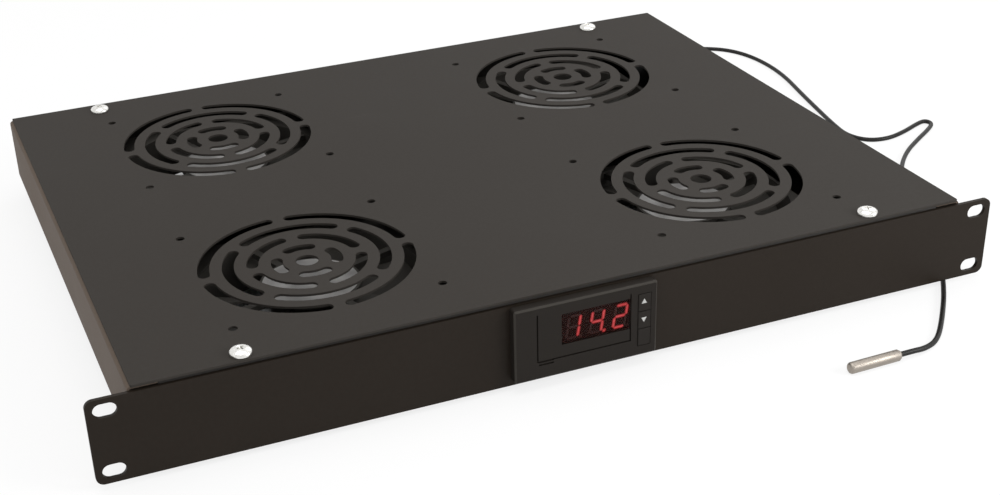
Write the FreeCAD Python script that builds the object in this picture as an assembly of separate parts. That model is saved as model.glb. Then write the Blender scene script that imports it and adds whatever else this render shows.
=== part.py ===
"""Rack fan tray: a 19-inch, one-unit tray with four axial fans and a panel thermostat.

Frame: +X to the right seen from the front, +Y to the back, +Z up, millimetres.
The origin is the middle of the footprint, on the surface that the tray stands on.
Each piece is a closed solid, or a group of like solids, written to parts/NODE.step.
"""

import FreeCAD, Part
import math
import os
from FreeCAD import Vector

# ---------------------------------------------------------------- driving dimensions

# rack panel: width, hole pattern and height class of the 19-inch standard
PANEL_WIDTH = 482.6
PANEL_HEIGHT = 44.0
PANEL_THICK = 2.0
PANEL_CORNER_R = 4.0
RACK_SPACING_X = 465.1
RACK_SPACING_Z = 31.75
RACK_SLOT_LENGTH = 11.0
RACK_SLOT_WIDTH = 7.2

# body, front face of the panel to the outside of the rear wall, and heights above the floor
BODY_DEPTH = 348.0
CHASSIS_WIDTH = 443.4
PANEL_BOTTOM = 3.1
CHASSIS_BOTTOM = 11.7
COVER_TOP = 50.1
SHEET = 1.2
BEND_R = 2.0
END_GAP = 0.2
SIDE_FLANGE = 14.0
END_FLANGE = 20.0

# cover plate and its punched grilles
COVER_WIDTH = 440.0
COVER_SETBACK = 0.8
COVER_OVERHANG = 0.5
GRILLE_PITCH_X = 225.5
GRILLE_PITCH_Y = 177.0
GRILLE_MIDDLE_Y = -1.7
GRILLE_RING_R = 15.25
GRILLE_RING_STEP = 12.25
GRILLE_RINGS = 4
GRILLE_SLOT = 6.1
GRILLE_WEB = 6.0
GRILLE_CENTRE_R = 5.8
COVER_HOLE_R = 2.3
COVER_SCREW_X = 168.0
COVER_SCREW_Y = 165.0

# fans: a 120 x 120 x 25 mm frame with its screws on a 105 mm square
FAN_SIZE = 120.0
FAN_DEPTH = 25.0
FAN_HOLE_SPACING = 105.0
FAN_BORE_R = 58.0
FAN_PITCH_X = 215.0
FAN_PITCH_Y = 169.0
FAN_MIDDLE_X = -4.0
FAN_MIDDLE_Y = -4.0
PAN_OPENING_R = 57.0
BLADE_COUNT = 7
BLADE_TIP_R = 56.8
HUB_R = 21.5
STATOR_PLATE_R = 26.0
LABEL_R = 24.6
SHAFT_R = 1.5
GUARD_RINGS = (16.0, 29.0, 42.0, 55.0)
GUARD_WIRE = 2.0

# thermostat: a 77 mm bezel over a 71 mm panel cut-out
BEZEL_WIDTH = 77.0
BEZEL_HEIGHT = 40.2
BEZEL_Z = 26.3
BEZEL_PROUD = 5.5
BEZEL_WALL = 1.8
CASE_WIDTH = 70.4
CASE_HEIGHT = 29.0
CASE_Z = 28.0
CASE_DEPTH = 56.0
CASE_WALL = 1.8
WINDOW_WIDTH = 37.2
WINDOW_HEIGHT = 16.9
WINDOW_X = 5.0
WINDOW_Z = 31.2
KEY_STRIP_X = 31.3
KEY_STRIP_Z = 26.3
KEY_STRIP_WIDTH = 7.4
KEY_STRIP_HEIGHT = 29.2
KEY_GAP = 0.3
KEY_PROUD = 0.4
KEY_TRAVEL = 0.7

# appliance inlet and sensor lead
INLET_X = -4.0
INLET_Z = 28.0
GLAND_X = 150.0
GLAND_Z = 24.0
CABLE_D = 2.8
PROBE_D = 6.0
PROBE_LENGTH = 30.0

# ---------------------------------------------------------------- derived places

FRONT = -BODY_DEPTH / 2
BACK = BODY_DEPTH / 2
PANEL_BACK = FRONT + PANEL_THICK
PANEL_MIDDLE_Z = PANEL_BOTTOM + PANEL_HEIGHT / 2
COVER_UNDER = COVER_TOP - SHEET
PAN_TOP = CHASSIS_BOTTOM + SHEET
FLANGE_UNDER = COVER_UNDER - SHEET
FLANGE_EDGE = CHASSIS_WIDTH / 2 - SIDE_FLANGE
PAN_EDGE = CHASSIS_WIDTH / 2 - BEND_R
BEZEL_FRONT = FRONT - BEZEL_PROUD
REAR_PROUD = BEZEL_PROUD + KEY_PROUD
GRILLE_CENTRES = [
    (sx * GRILLE_PITCH_X / 2, GRILLE_MIDDLE_Y + sy * GRILLE_PITCH_Y / 2)
    for sy in (-1, 1)
    for sx in (-1, 1)
]
FAN_CENTRES = [
    (FAN_MIDDLE_X + sx * FAN_PITCH_X / 2, FAN_MIDDLE_Y + sy * FAN_PITCH_Y / 2)
    for sy in (-1, 1)
    for sx in (-1, 1)
]
CORNERS = [(sx, sy) for sx in (-1, 1) for sy in (-1, 1)]
COVER_SCREWS = [
    (sx * COVER_SCREW_X, GRILLE_MIDDLE_Y + sy * COVER_SCREW_Y) for sx, sy in CORNERS
]

# ---------------------------------------------------------------- smaller sizes and places

# weld studs behind the panel, then the cover screws
STUD_R = 2.0
STUD_LENGTH = 8.0
STUDS = [(sx * 202.0, CASE_Z + sz * 9.0) for sx, sz in CORNERS]
COVER_SCREW_R = 2.5
COVER_HEAD_R = 5.6
COVER_HEAD_RIM = 0.8
COVER_HEAD_CROWN = 3.2
PRESS_NUT_R = 3.2

# one fan, with heights from its own underside
FAN_SCREW_R = 2.0
FRAME_FLANGE = 4.0
DUCT_R = 59.8
STRUT_Z = (21.0, 24.2)
HUB_Z = (1.5, 20.5)
HUB_WALL = 1.6
BLADE_Z = (2.0, 19.0)
BEARING_TUBE_R = 4.6
BEARING_R = 3.0
MAGNET_R = (17.2, HUB_R - HUB_WALL)
LABEL_THICK = 0.2

# finger guard: height of the eyes and of the arms
GUARD_EYE_R = 3.2
GUARD_EYE_Z = CHASSIS_BOTTOM - GUARD_WIRE / 2
GUARD_ARM_Z = GUARD_WIRE * 1.5

# inside the thermostat
DISPLAY_BACK = FRONT + 4.6
BOARD_THICK = 1.6
CASE_BACK = FRONT + CASE_DEPTH
GROOVE = 0.8
KEY_HEIGHT = (KEY_STRIP_HEIGHT - 4 * KEY_GAP) / 3
KEY_WIDTH = KEY_STRIP_WIDTH - 2 * KEY_GAP
KEY_MIDDLES = [KEY_STRIP_Z + i * (KEY_HEIGHT + KEY_GAP) for i in (1, 0, -1)]
SWITCH_RISE = 1.0
SWITCH_FRONT = FRONT + 1.0
LABEL_PLATE = (-26.9, 24.1, 15.7, 42.0)

# terminals on the back of its case
TERMINAL_X = [-24.0, -14.0, -4.0, 6.0, 15.0, 24.0]
TERMINAL_Y = (CASE_BACK, CASE_BACK + 12.0)
TERMINAL_Z = (13.5, 26.0)

# appliance inlet
INLET_BODY = (27.0, 19.6)
INLET_FLANGE = (50.0, 23.0, 3.0)
INLET_CAVITY = (24.0, 16.0, 17.0)
INLET_DEPTH = 22.0
INLET_SCREW_X = 20.0
INLET_SCREW_R = 1.5
INLET_PINS = [(-7.0, -2.0), (7.0, -2.0), (0.0, 2.0)]

# sensor gland
GLAND_NECK_R = 4.6
GLAND_FLANGE_R = 7.0

# flat fan leads, and the aisle between the fans
LEAD_Z = PAN_TOP + 1.4
LEAD_SIZE = (4.4, 2.2)
AISLE = (FAN_MIDDLE_X - FAN_PITCH_X / 2 + FAN_SIZE / 2, FAN_MIDDLE_X + FAN_PITCH_X / 2 - FAN_SIZE / 2)

# free sensor cable, from the gland to the probe; heights above the floor
REST = CABLE_D / 2
PROBE_Z = PROBE_D / 2
CABLE_ROUTE = [
    (GLAND_X, BACK + REAR_PROUD, GLAND_Z), (GLAND_X, 191.0, GLAND_Z), (151.5, 204.0, 16.5),
    (156.0, 214.5, 6.5), (166.0, 222.5, REST), (184.0, 229.5, REST), (210.0, 232.5, REST),
    (240.0, 229.0, REST), (266.0, 220.5, REST), (287.5, 210.5, REST), (301.5, 200.0, REST),
    (309.5, 182.5, REST), (312.0, 158.0, REST), (309.5, 131.0, REST), (302.5, 101.0, REST),
    (295.5, 68.0, REST), (290.0, 41.0, REST), (287.5, 22.5, REST), (294.0, 9.0, REST),
    (308.0, 5.5, REST), (324.0, 10.5, REST), (339.0, 17.5, REST), (350.0, 20.5, REST),
    (351.5, 11.5, REST), (340.0, 6.5, REST), (325.0, -3.5, REST), (305.0, -18.0, REST),
    (286.5, -38.0, REST), (268.5, -68.0, REST), (251.5, -108.0, REST), (235.0, -146.0, REST),
    (213.5, -179.5, REST), (190.5, -208.0, REST), (176.0, -223.5, REST), (165.5, -228.3, REST + 0.5),
    (156.8, -229.4, PROBE_Z), (148.5, -229.6, PROBE_Z),
]

# ---------------------------------------------------------------- shape helpers


def box(x_range, y_range, z_range):
    """A block between two corners."""
    low = Vector(x_range[0], y_range[0], z_range[0])
    size = [r[1] - r[0] for r in (x_range, y_range, z_range)]
    return Part.makeBox(size[0], size[1], size[2], low)


def centred_box(x, y, z, width, depth, height):
    """A block round its middle."""
    return box(
        (x - width / 2, x + width / 2),
        (y - depth / 2, y + depth / 2),
        (z - height / 2, z + height / 2),
    )


def rod(x, y, z_range, radius):
    """An upright cylinder."""
    return Part.makeCylinder(radius, z_range[1] - z_range[0], Vector(x, y, z_range[0]))


def rod_y(x, z, y_range, radius):
    """A cylinder that points to the back."""
    start = Vector(x, y_range[0], z)
    return Part.makeCylinder(radius, y_range[1] - y_range[0], start, Vector(0, 1, 0))


def tube(x, y, z_range, outer, inner):
    """An upright ring."""
    return rod(x, y, z_range, outer).cut(rod(x, y, z_range, inner))


def polar(radius, degrees):
    """A point of the XY plane by radius and angle."""
    angle = math.radians(degrees)
    return Vector(radius * math.cos(angle), radius * math.sin(angle), 0)


def rounded_rectangle(cx, cy, width, height, radius):
    """Closed wire of a rectangle with round corners, in the XY plane."""
    edges = []
    previous = None
    first = None
    for quarter, (sx, sy) in enumerate(((1, 1), (-1, 1), (-1, -1), (1, -1))):
        centre = Vector(cx + sx * (width / 2 - radius), cy + sy * (height / 2 - radius), 0)
        start = centre + polar(radius, 90 * quarter)
        middle = centre + polar(radius, 90 * quarter + 45)
        end = centre + polar(radius, 90 * quarter + 90)
        if previous is None:
            first = start
        else:
            edges.append(Part.makeLine(previous, start))
        edges.append(Part.Arc(start, middle, end).toShape())
        previous = end
    edges.append(Part.makeLine(previous, first))
    return Part.Wire(edges)


def round_hole(cx, cy, radius):
    """Circular wire in the XY plane."""
    return Part.Wire([Part.makeCircle(radius, Vector(cx, cy, 0))])


def slot(cx, cy, length, width):
    """Wire of a straight slot with round ends, along X."""
    half = length / 2 - width / 2
    r = width / 2
    right = Vector(cx + half, cy, 0)
    left = Vector(cx - half, cy, 0)
    up = Vector(0, r, 0)
    out = Vector(r, 0, 0)
    return Part.Wire(
        [
            Part.makeLine(left - up, right - up),
            Part.Arc(right - up, right + out, right + up).toShape(),
            Part.makeLine(right + up, left + up),
            Part.Arc(left + up, left - out, left - up).toShape(),
        ]
    )


def arc_slot(centre, radius, width, middle, half_angle):
    """Wire of a round-ended slot that follows a circle about centre."""
    start = middle - half_angle
    end = middle + half_angle
    r = width / 2

    def at(rad, deg):
        return centre + polar(rad, deg)

    end_tip = at(radius, end) + polar(r, end + 90)
    start_tip = at(radius, start) + polar(r, start - 90)
    return Part.Wire(
        [
            Part.Arc(at(radius + r, start), at(radius + r, middle), at(radius + r, end)).toShape(),
            Part.Arc(at(radius + r, end), end_tip, at(radius - r, end)).toShape(),
            Part.Arc(at(radius - r, end), at(radius - r, middle), at(radius - r, start)).toShape(),
            Part.Arc(at(radius - r, start), start_tip, at(radius + r, start)).toShape(),
        ]
    )


def plate(outline, holes, thickness):
    """A flat plate from z = 0 up, with its holes."""
    face = Part.makeFace([outline] + holes, "Part::FaceMakerBullseye")
    return face.extrude(Vector(0, 0, thickness))


def stand_up(shape, front):
    """Turn a plate drawn in XY into an XZ plate whose front face is at y = front."""
    thickness = shape.BoundBox.ZMax
    shape.rotate(Vector(0, 0, 0), Vector(1, 0, 0), 90)
    shape.translate(Vector(0, front + thickness, 0))
    return shape


def hexagon(x, y, z_range, across_flats, hole):
    """An upright hexagon nut."""
    corner = across_flats / math.sqrt(3)
    points = [Vector(x, y, z_range[0]) + polar(corner, 60 * i + 30) for i in range(7)]
    solid = Part.Face(Part.makePolygon(points)).extrude(Vector(0, 0, z_range[1] - z_range[0]))
    return solid.cut(rod(x, y, z_range, hole))


def revolve(points, x=0.0, y=0.0):
    """Turn a closed (radius, z) outline about the upright axis through x, y."""
    outline = [Vector(r, 0, z) for r, z in points]
    face = Part.Face(Part.makePolygon(outline + outline[:1]))
    solid = face.revolve(Vector(0, 0, 0), Vector(0, 0, 1), 360)
    solid.translate(Vector(x, y, 0))
    return solid


def moved(shape, x, y, z=0.0):
    """A copy of a shape at another place."""
    copy = shape.copy()
    copy.translate(Vector(x, y, z))
    return copy


def fuse(shapes):
    """One solid from shapes that touch or overlap."""
    return shapes[0].multiFuse(shapes[1:]).removeSplitter()


def save(node, shape):
    """Write one node as STEP."""
    shape.exportStep("parts/" + node + ".step")


# ---------------------------------------------------------------- sheet metal


def front_panel():
    """Rack panel: slotted ears, thermostat cut-out, four weld studs behind."""
    slots = [
        slot(sx * RACK_SPACING_X / 2, PANEL_MIDDLE_Z + sz * RACK_SPACING_Z / 2,
             RACK_SLOT_LENGTH, RACK_SLOT_WIDTH)
        for sx, sz in CORNERS
    ]
    cut_out = rounded_rectangle(0, CASE_Z, CASE_WIDTH + 0.6, CASE_HEIGHT + 0.6, 1.0)
    outline = rounded_rectangle(0, PANEL_MIDDLE_Z, PANEL_WIDTH, PANEL_HEIGHT, PANEL_CORNER_R)
    panel = stand_up(plate(outline, slots + [cut_out], PANEL_THICK), FRONT)
    studs = [rod_y(x, z, (PANEL_BACK - 0.5, PANEL_BACK + STUD_LENGTH), STUD_R) for x, z in STUDS]
    return fuse([panel] + studs)


def panel_nuts():
    """M4 nuts that pull the panel against the front wall."""
    wall_inside = PANEL_BACK + SHEET
    nuts = []
    for x, z in STUDS:
        nut = hexagon(0, 0, (0, 3.2), 7.0, STUD_R)
        nut.rotate(Vector(0, 0, 0), Vector(1, 0, 0), -90)
        nuts.append(moved(nut, x, wall_inside, z))
    return Part.makeCompound(nuts)


def cover_screw_holes():
    """Holes for the cover screws, through the flanges."""
    top = (FLANGE_UNDER - 1.0, COVER_UNDER + 1.0)
    return [rod(x, y, top, COVER_SCREW_R + 0.3) for x, y in COVER_SCREWS]


def chassis_tray():
    """Flat pan, with an opening under each fan and the fan-screw holes."""
    pan = box((-PAN_EDGE, PAN_EDGE), (PANEL_BACK, BACK), (CHASSIS_BOTTOM, PAN_TOP))
    through = (CHASSIS_BOTTOM - 1.0, PAN_TOP + 1.0)
    cuts = [rod(x, y, through, PAN_OPENING_R) for x, y in FAN_CENTRES]
    cuts += [rod(x, y, through, FAN_SCREW_R + 0.3) for x, y in fan_screw_places()]
    return pan.cut(Part.makeCompound(cuts))


def side_walls():
    """Side walls, each with the bend that joins it to the pan and a flange turned in at the top."""
    height = COVER_UNDER - CHASSIS_BOTTOM
    middle = (COVER_UNDER + CHASSIS_BOTTOM) / 2
    inner_width = CHASSIS_WIDTH - 2 * SHEET
    outside = rounded_rectangle(0, middle, CHASSIS_WIDTH, height, BEND_R)
    inside = rounded_rectangle(0, middle, inner_width, height - 2 * SHEET, BEND_R - SHEET)
    sleeve = stand_up(plate(outside, [inside], BACK - PANEL_BACK), PANEL_BACK)
    length = (PANEL_BACK - 1.0, BACK + 1.0)
    top = box((-FLANGE_EDGE, FLANGE_EDGE), length, (middle, COVER_UNDER + 1.0))
    bottom = box((-PAN_EDGE, PAN_EDGE), length, (CHASSIS_BOTTOM - 1.0, middle))
    return sleeve.cut(Part.makeCompound([top, bottom]))


def end_wall(outer, inward):
    """Folded end wall from its outer face inwards, with a tab at each end that meets the side wall."""

    def at(depth, z):
        return Vector(END_GAP - FLANGE_EDGE, outer + inward * depth, z)

    turn_outer = BEND_R * (1 - math.sqrt(0.5))
    turn_inner = SHEET + (BEND_R - SHEET) * (1 - math.sqrt(0.5))
    bend_z = COVER_UNDER - BEND_R
    section = Part.Wire(
        [
            Part.makeLine(at(0, PAN_TOP), at(0, bend_z)),
            Part.Arc(at(0, bend_z), at(turn_outer, COVER_UNDER - turn_outer),
                     at(BEND_R, COVER_UNDER)).toShape(),
            Part.makeLine(at(BEND_R, COVER_UNDER), at(END_FLANGE, COVER_UNDER)),
            Part.makeLine(at(END_FLANGE, COVER_UNDER), at(END_FLANGE, FLANGE_UNDER)),
            Part.makeLine(at(END_FLANGE, FLANGE_UNDER), at(BEND_R, FLANGE_UNDER)),
            Part.Arc(at(BEND_R, FLANGE_UNDER), at(turn_inner, COVER_UNDER - turn_inner),
                     at(SHEET, bend_z)).toShape(),
            Part.makeLine(at(SHEET, bend_z), at(SHEET, PAN_TOP)),
            Part.makeLine(at(SHEET, PAN_TOP), at(0, PAN_TOP)),
        ]
    )
    wall = Part.Face(section).extrude(Vector(2 * (FLANGE_EDGE - END_GAP), 0, 0))
    half = CHASSIS_WIDTH / 2 - SHEET
    y = sorted((outer, outer + inward * SHEET))
    tabs = [box(sorted((side * (FLANGE_EDGE - 1.0), side * half)), y, (PAN_TOP + BEND_R, bend_z))
            for side in (-1, 1)]
    return fuse([wall] + tabs)


def front_wall():
    """End wall behind the panel, with the thermostat's opening and the stud holes."""
    through = (PANEL_BACK - 1.0, PANEL_BACK + SHEET + 1.0)
    cuts = [rod_y(x, z, through, STUD_R + 0.2) for x, z in STUDS]
    cuts.append(box((-CASE_WIDTH / 2 - 0.3, CASE_WIDTH / 2 + 0.3), through,
                    (CASE_Z - CASE_HEIGHT / 2 - 0.3, CASE_Z + CASE_HEIGHT / 2 + 0.3)))
    return end_wall(PANEL_BACK, 1).cut(Part.makeCompound(cuts + cover_screw_holes()))


def rear_wall():
    """End wall at the back, with the openings for the inlet and the sensor gland."""
    through = (BACK - SHEET - 1.0, BACK + 1.0)
    cuts = [centred_box(INLET_X, BACK, INLET_Z, INLET_BODY[0] + 0.4, 4 * SHEET, INLET_BODY[1] + 0.4)]
    cuts += [rod_y(INLET_X + sx * INLET_SCREW_X, INLET_Z, through, INLET_SCREW_R + 0.1) for sx in (-1, 1)]
    cuts.append(rod_y(GLAND_X, GLAND_Z, through, GLAND_NECK_R))
    return end_wall(BACK, -1).cut(Part.makeCompound(cuts + cover_screw_holes()))


def grille_holes(centre):
    """Wires of one punched grille: a centre hole and rings of four arc slots, turned ring by ring."""
    wires = [round_hole(centre.x, centre.y, GRILLE_CENTRE_R)]
    for ring in range(GRILLE_RINGS):
        radius = GRILLE_RING_R + ring * GRILLE_RING_STEP
        web_angle = math.degrees(math.asin((GRILLE_WEB + GRILLE_SLOT) / 2 / radius))
        first = 45.0 * (ring % 2)
        wires += [
            arc_slot(centre, radius, GRILLE_SLOT, first + 90 * i, 45 - web_angle) for i in range(4)
        ]
    return wires


def top_cover():
    """Flat cover with four grilles, their unused fan holes and four screw holes."""
    holes = [round_hole(x, y, COVER_SCREW_R + 0.3) for x, y in COVER_SCREWS]
    for x, y in GRILLE_CENTRES:
        holes += grille_holes(Vector(x, y, 0))
        holes += [round_hole(x + sx * FAN_HOLE_SPACING / 2, y + sy * FAN_HOLE_SPACING / 2, COVER_HOLE_R)
                  for sx, sy in CORNERS]
    front = FRONT + COVER_SETBACK
    back = BACK + COVER_OVERHANG
    outline = rounded_rectangle(0, (front + back) / 2, COVER_WIDTH, back - front, 0.8)
    return moved(plate(outline, holes, SHEET), 0, 0, COVER_UNDER)


def cover_screws():
    """M5 screws with low domed heads, through the cover into the flanges."""
    rim = COVER_TOP + COVER_HEAD_RIM
    dome = COVER_HEAD_CROWN - COVER_HEAD_RIM
    sphere_r = (COVER_HEAD_R ** 2 + dome ** 2) / (2 * dome)
    ball = Part.makeSphere(sphere_r, Vector(0, 0, rim + dome - sphere_r))
    head = rod(0, 0, (COVER_TOP, rim + dome), COVER_HEAD_R).common(ball)
    shank = rod(0, 0, (FLANGE_UNDER - 6.0, COVER_TOP), COVER_SCREW_R)
    screw = fuse([head, shank])
    return Part.makeCompound([moved(screw, x, y) for x, y in COVER_SCREWS])


def cover_nuts():
    """Press nuts under the flanges for the cover screws."""
    height = (FLANGE_UNDER - 5.0, FLANGE_UNDER)
    return Part.makeCompound([tube(x, y, height, PRESS_NUT_R, COVER_SCREW_R) for x, y in COVER_SCREWS])


# ---------------------------------------------------------------- one fan, from its own underside

def fan_frame():
    """Square frame: two flanges, round duct, four struts and the motor's mounting plate."""
    flange = plate(rounded_rectangle(0, 0, FAN_SIZE, FAN_SIZE, 5.0), [], FRAME_FLANGE)
    body = [flange, moved(flange, 0, 0, FAN_DEPTH - FRAME_FLANGE), rod(0, 0, (0, FAN_DEPTH), DUCT_R)]
    frame = fuse(body).cut(rod(0, 0, (0, FAN_DEPTH), FAN_BORE_R))
    struts = []
    for angle in (20, 110, 200, 290):
        strut = box((STATOR_PLATE_R - 2.0, FAN_BORE_R + 0.8), (-2.0, 2.0), STRUT_Z)
        strut.rotate(Vector(0, 0, 0), Vector(0, 0, 1), angle)
        struts.append(strut)
    middle = [rod(0, 0, (22.0, STRUT_Z[1]), STATOR_PLATE_R), rod(0, 0, (6.0, 23.0), BEARING_TUBE_R)]
    frame = fuse([frame] + struts + middle)
    holes = [rod(0, 0, (5.0, FAN_DEPTH), BEARING_R)]
    half = FAN_HOLE_SPACING / 2
    through = (-1.0, FAN_DEPTH + 1.0)
    holes += [rod(sx * half, sy * half, through, FAN_SCREW_R + 0.15) for sx, sy in CORNERS]
    return frame.cut(Part.makeCompound(holes))


def blade_section(radius, half_span, low, high, sag, thickness):
    """Cambered blade outline in the plane that touches the circle of that radius."""
    foot = Vector(radius, -half_span, low)
    head = Vector(radius, half_span, high)
    along = (head - foot).normalize()
    normal = Vector(0, -along.z, along.y)
    middle = (foot + head) * 0.5 + normal * sag
    offset = normal * thickness
    return Part.Wire(
        [
            Part.Arc(foot, middle, head).toShape(),
            Part.makeLine(head, head + offset),
            Part.Arc(head + offset, middle + offset, foot + offset).toShape(),
            Part.makeLine(foot + offset, foot),
        ]
    )


def fan_rotor():
    """Impeller: cup-shaped hub with twisted, cambered blades, open towards the motor plate."""
    hub = rod(0, 0, HUB_Z, HUB_R)
    hub = hub.makeFillet(1.2, [e for e in hub.Edges if e.BoundBox.ZMax < HUB_Z[0] + 0.01])
    hub = hub.cut(rod(0, 0, (HUB_Z[0] + HUB_WALL, HUB_Z[1] + 1.0), HUB_R - HUB_WALL))
    boss = rod(0, 0, (HUB_Z[0] + 0.8, HUB_Z[0] + 4.0), 3.4)
    root = blade_section(HUB_R - 2.5, 8.6, BLADE_Z[0] + 0.6, BLADE_Z[1] - 0.6, 2.2, 1.5)
    tip = blade_section(BLADE_TIP_R + 1.0, 17.0, BLADE_Z[0] + 2.6, BLADE_Z[1] - 2.6, 2.6, 1.1)
    blade = Part.makeLoft([root, tip], True, True)
    blade = blade.common(tube(0, 0, (0, FAN_DEPTH), BLADE_TIP_R, HUB_R - 0.8))
    blades = []
    for i in range(BLADE_COUNT):
        one = blade.copy()
        one.rotate(Vector(0, 0, 0), Vector(0, 0, 1), 360.0 / BLADE_COUNT * i)
        blades.append(one)
    rotor = fuse([hub, boss] + blades)
    return rotor.cut(rod(0, 0, (HUB_Z[0] + 0.8, FAN_DEPTH), SHAFT_R))


def fan_shaft():
    """Steel shaft, pressed into the hub's boss."""
    return rod(0, 0, (HUB_Z[0] + 0.8, 21.6), SHAFT_R)


def fan_magnet():
    """Ring magnet glued inside the hub."""
    return tube(0, 0, (5.5, 17.5), MAGNET_R[1], MAGNET_R[0])


def fan_stator():
    """Four-pole core on the bearing tube."""
    core = tube(0, 0, (7.0, 16.0), 16.6, BEARING_TUBE_R)
    pockets = []
    for i in range(4):
        middle = polar(10.6, 45 + 90 * i)
        pockets.append(rod(middle.x, middle.y, (6.0, 17.0), 4.4))
        mouth = box((10.0, 18.0), (-1.2, 1.2), (6.0, 17.0))
        mouth.rotate(Vector(0, 0, 0), Vector(0, 0, 1), 45 + 90 * i)
        pockets.append(mouth)
    return core.cut(Part.makeCompound(pockets))


def fan_board():
    """Motor circuit board under the mounting plate."""
    return tube(0, 0, (19.0, 20.4), 17.0, BEARING_TUBE_R)


def fan_bearing_pair():
    """Two bearings in the motor's tube."""
    return [tube(0, 0, z, BEARING_R, SHAFT_R + 0.05) for z in ((6.2, 9.4), (17.8, 21.0))]


def fan_label():
    """Round sticker over the bearing, on top of the motor plate."""
    return rod(0, 0, (STRUT_Z[1], STRUT_Z[1] + LABEL_THICK), LABEL_R)


def wire_ring(radius, x=0.0, y=0.0, z=0.0):
    """A ring of round wire that lies flat."""
    return Part.makeTorus(radius, GUARD_WIRE / 2, Vector(x, y, z))


def guard_rings():
    """Wire rings of one finger guard, on the floor."""
    return [wire_ring(radius, z=GUARD_WIRE / 2) for radius in GUARD_RINGS]


def guard_arms():
    """Four bent wires of one finger guard, from the inner ring up to an eye at each fan screw."""
    screw_at = FAN_HOLE_SPACING / 2 * math.sqrt(2)
    points = [
        Vector(GUARD_RINGS[0] - 1.0, 0, GUARD_ARM_Z), Vector(60.0, 0, GUARD_ARM_Z),
        Vector(66.0, 0, GUARD_EYE_Z), Vector(screw_at - GUARD_EYE_R, 0, GUARD_EYE_Z),
    ]
    wire = round_lead(points, GUARD_WIRE)
    arm = fuse([wire, wire_ring(GUARD_EYE_R, screw_at, 0, GUARD_EYE_Z)])
    arms = []
    for i in range(4):
        one = arm.copy()
        one.rotate(Vector(0, 0, 0), Vector(0, 0, 1), 45 + 90 * i)
        arms.append(one)
    return arms


def fan_screw_places():
    """Axis of every fan screw."""
    half = FAN_HOLE_SPACING / 2
    return [(x + sx * half, y + sy * half) for x, y in FAN_CENTRES for sx, sy in CORNERS]


def fan_screws():
    """M4 screws from below through guard, pan and the fan's lower flange."""
    seat = CHASSIS_BOTTOM - GUARD_WIRE
    tip = PAN_TOP + FRAME_FLANGE + 5.0
    outline = [(0, seat - 2.4), (2.4, seat - 2.4), (3.7, seat - 1.0), (3.7, seat),
               (FAN_SCREW_R, seat), (FAN_SCREW_R, tip), (0, tip)]
    return Part.makeCompound([revolve(outline, x, y) for x, y in fan_screw_places()])


def fan_nuts():
    """M4 nuts on the fan's lower flange."""
    seat = PAN_TOP + FRAME_FLANGE
    height = (seat, seat + 3.2)
    return Part.makeCompound([hexagon(x, y, height, 7.0, FAN_SCREW_R) for x, y in fan_screw_places()])


# ---------------------------------------------------------------- thermostat

def thermostat_bezel():
    """Moulded bezel: bevelled front, window and key openings, label plate in a groove, hollow behind."""
    outline = rounded_rectangle(0, BEZEL_Z, BEZEL_WIDTH, BEZEL_HEIGHT, 1.2)
    bezel = stand_up(plate(outline, [], BEZEL_PROUD), BEZEL_FRONT)
    front_rim = [e for e in bezel.Edges if e.BoundBox.YMax < BEZEL_FRONT + 0.01]
    bezel = bezel.makeChamfer(0.9, front_rim)
    face = (BEZEL_FRONT - 1.0, BEZEL_FRONT + BEZEL_WALL + 1.0)
    x0, x1, z0, z1 = LABEL_PLATE
    depth = (BEZEL_FRONT - 1.0, BEZEL_FRONT + GROOVE)
    groove = box((x0, x1), depth, (z0, z1)).cut(
        box((x0 + GROOVE, x1 - GROOVE), depth, (z0 + GROOVE, z1 + 1.0)))
    notches = [box((x0 + 1.0, x0 + 9.0), depth, (z, z + 0.9)) for z in (z0 - 1.9, z0 - 0.3)]
    cuts = [
        box((WINDOW_X - WINDOW_WIDTH / 2, WINDOW_X + WINDOW_WIDTH / 2), face,
            (WINDOW_Z - WINDOW_HEIGHT / 2, WINDOW_Z + WINDOW_HEIGHT / 2)),
        box((KEY_STRIP_X - KEY_STRIP_WIDTH / 2, KEY_STRIP_X + KEY_STRIP_WIDTH / 2), face,
            (KEY_STRIP_Z - KEY_STRIP_HEIGHT / 2, KEY_STRIP_Z + KEY_STRIP_HEIGHT / 2)),
        box((-CASE_WIDTH / 2 + 0.1, CASE_WIDTH / 2 - 0.1), (BEZEL_FRONT + BEZEL_WALL, FRONT + 1.0),
            (KEY_STRIP_Z - KEY_STRIP_HEIGHT / 2 - 0.2, KEY_STRIP_Z + KEY_STRIP_HEIGHT / 2 + 0.2)),
        groove,
    ]
    return bezel.cut(Part.makeCompound(cuts)).cut(Part.makeCompound(notches))


def thermostat_case():
    """Instrument case behind the panel, open to the bezel."""
    z0 = CASE_Z - CASE_HEIGHT / 2
    z1 = CASE_Z + CASE_HEIGHT / 2
    half = CASE_WIDTH / 2
    outer = box((-half, half), (FRONT, CASE_BACK), (z0, z1))
    inner = box((-half + CASE_WALL, half - CASE_WALL), (FRONT - 1.0, CASE_BACK - CASE_WALL),
                (z0 + CASE_WALL, z1 - CASE_WALL))
    case = outer.cut(inner)
    rails = []
    for side in (-1, 1):
        x = sorted((side * half, side * (half - 0.8)))
        rails.append(box(x, (PANEL_BACK + SHEET + 1.0, CASE_BACK - 6.0), (CASE_Z - 1.5, CASE_Z + 1.5)))
    return case.cut(Part.makeCompound(rails))


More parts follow.
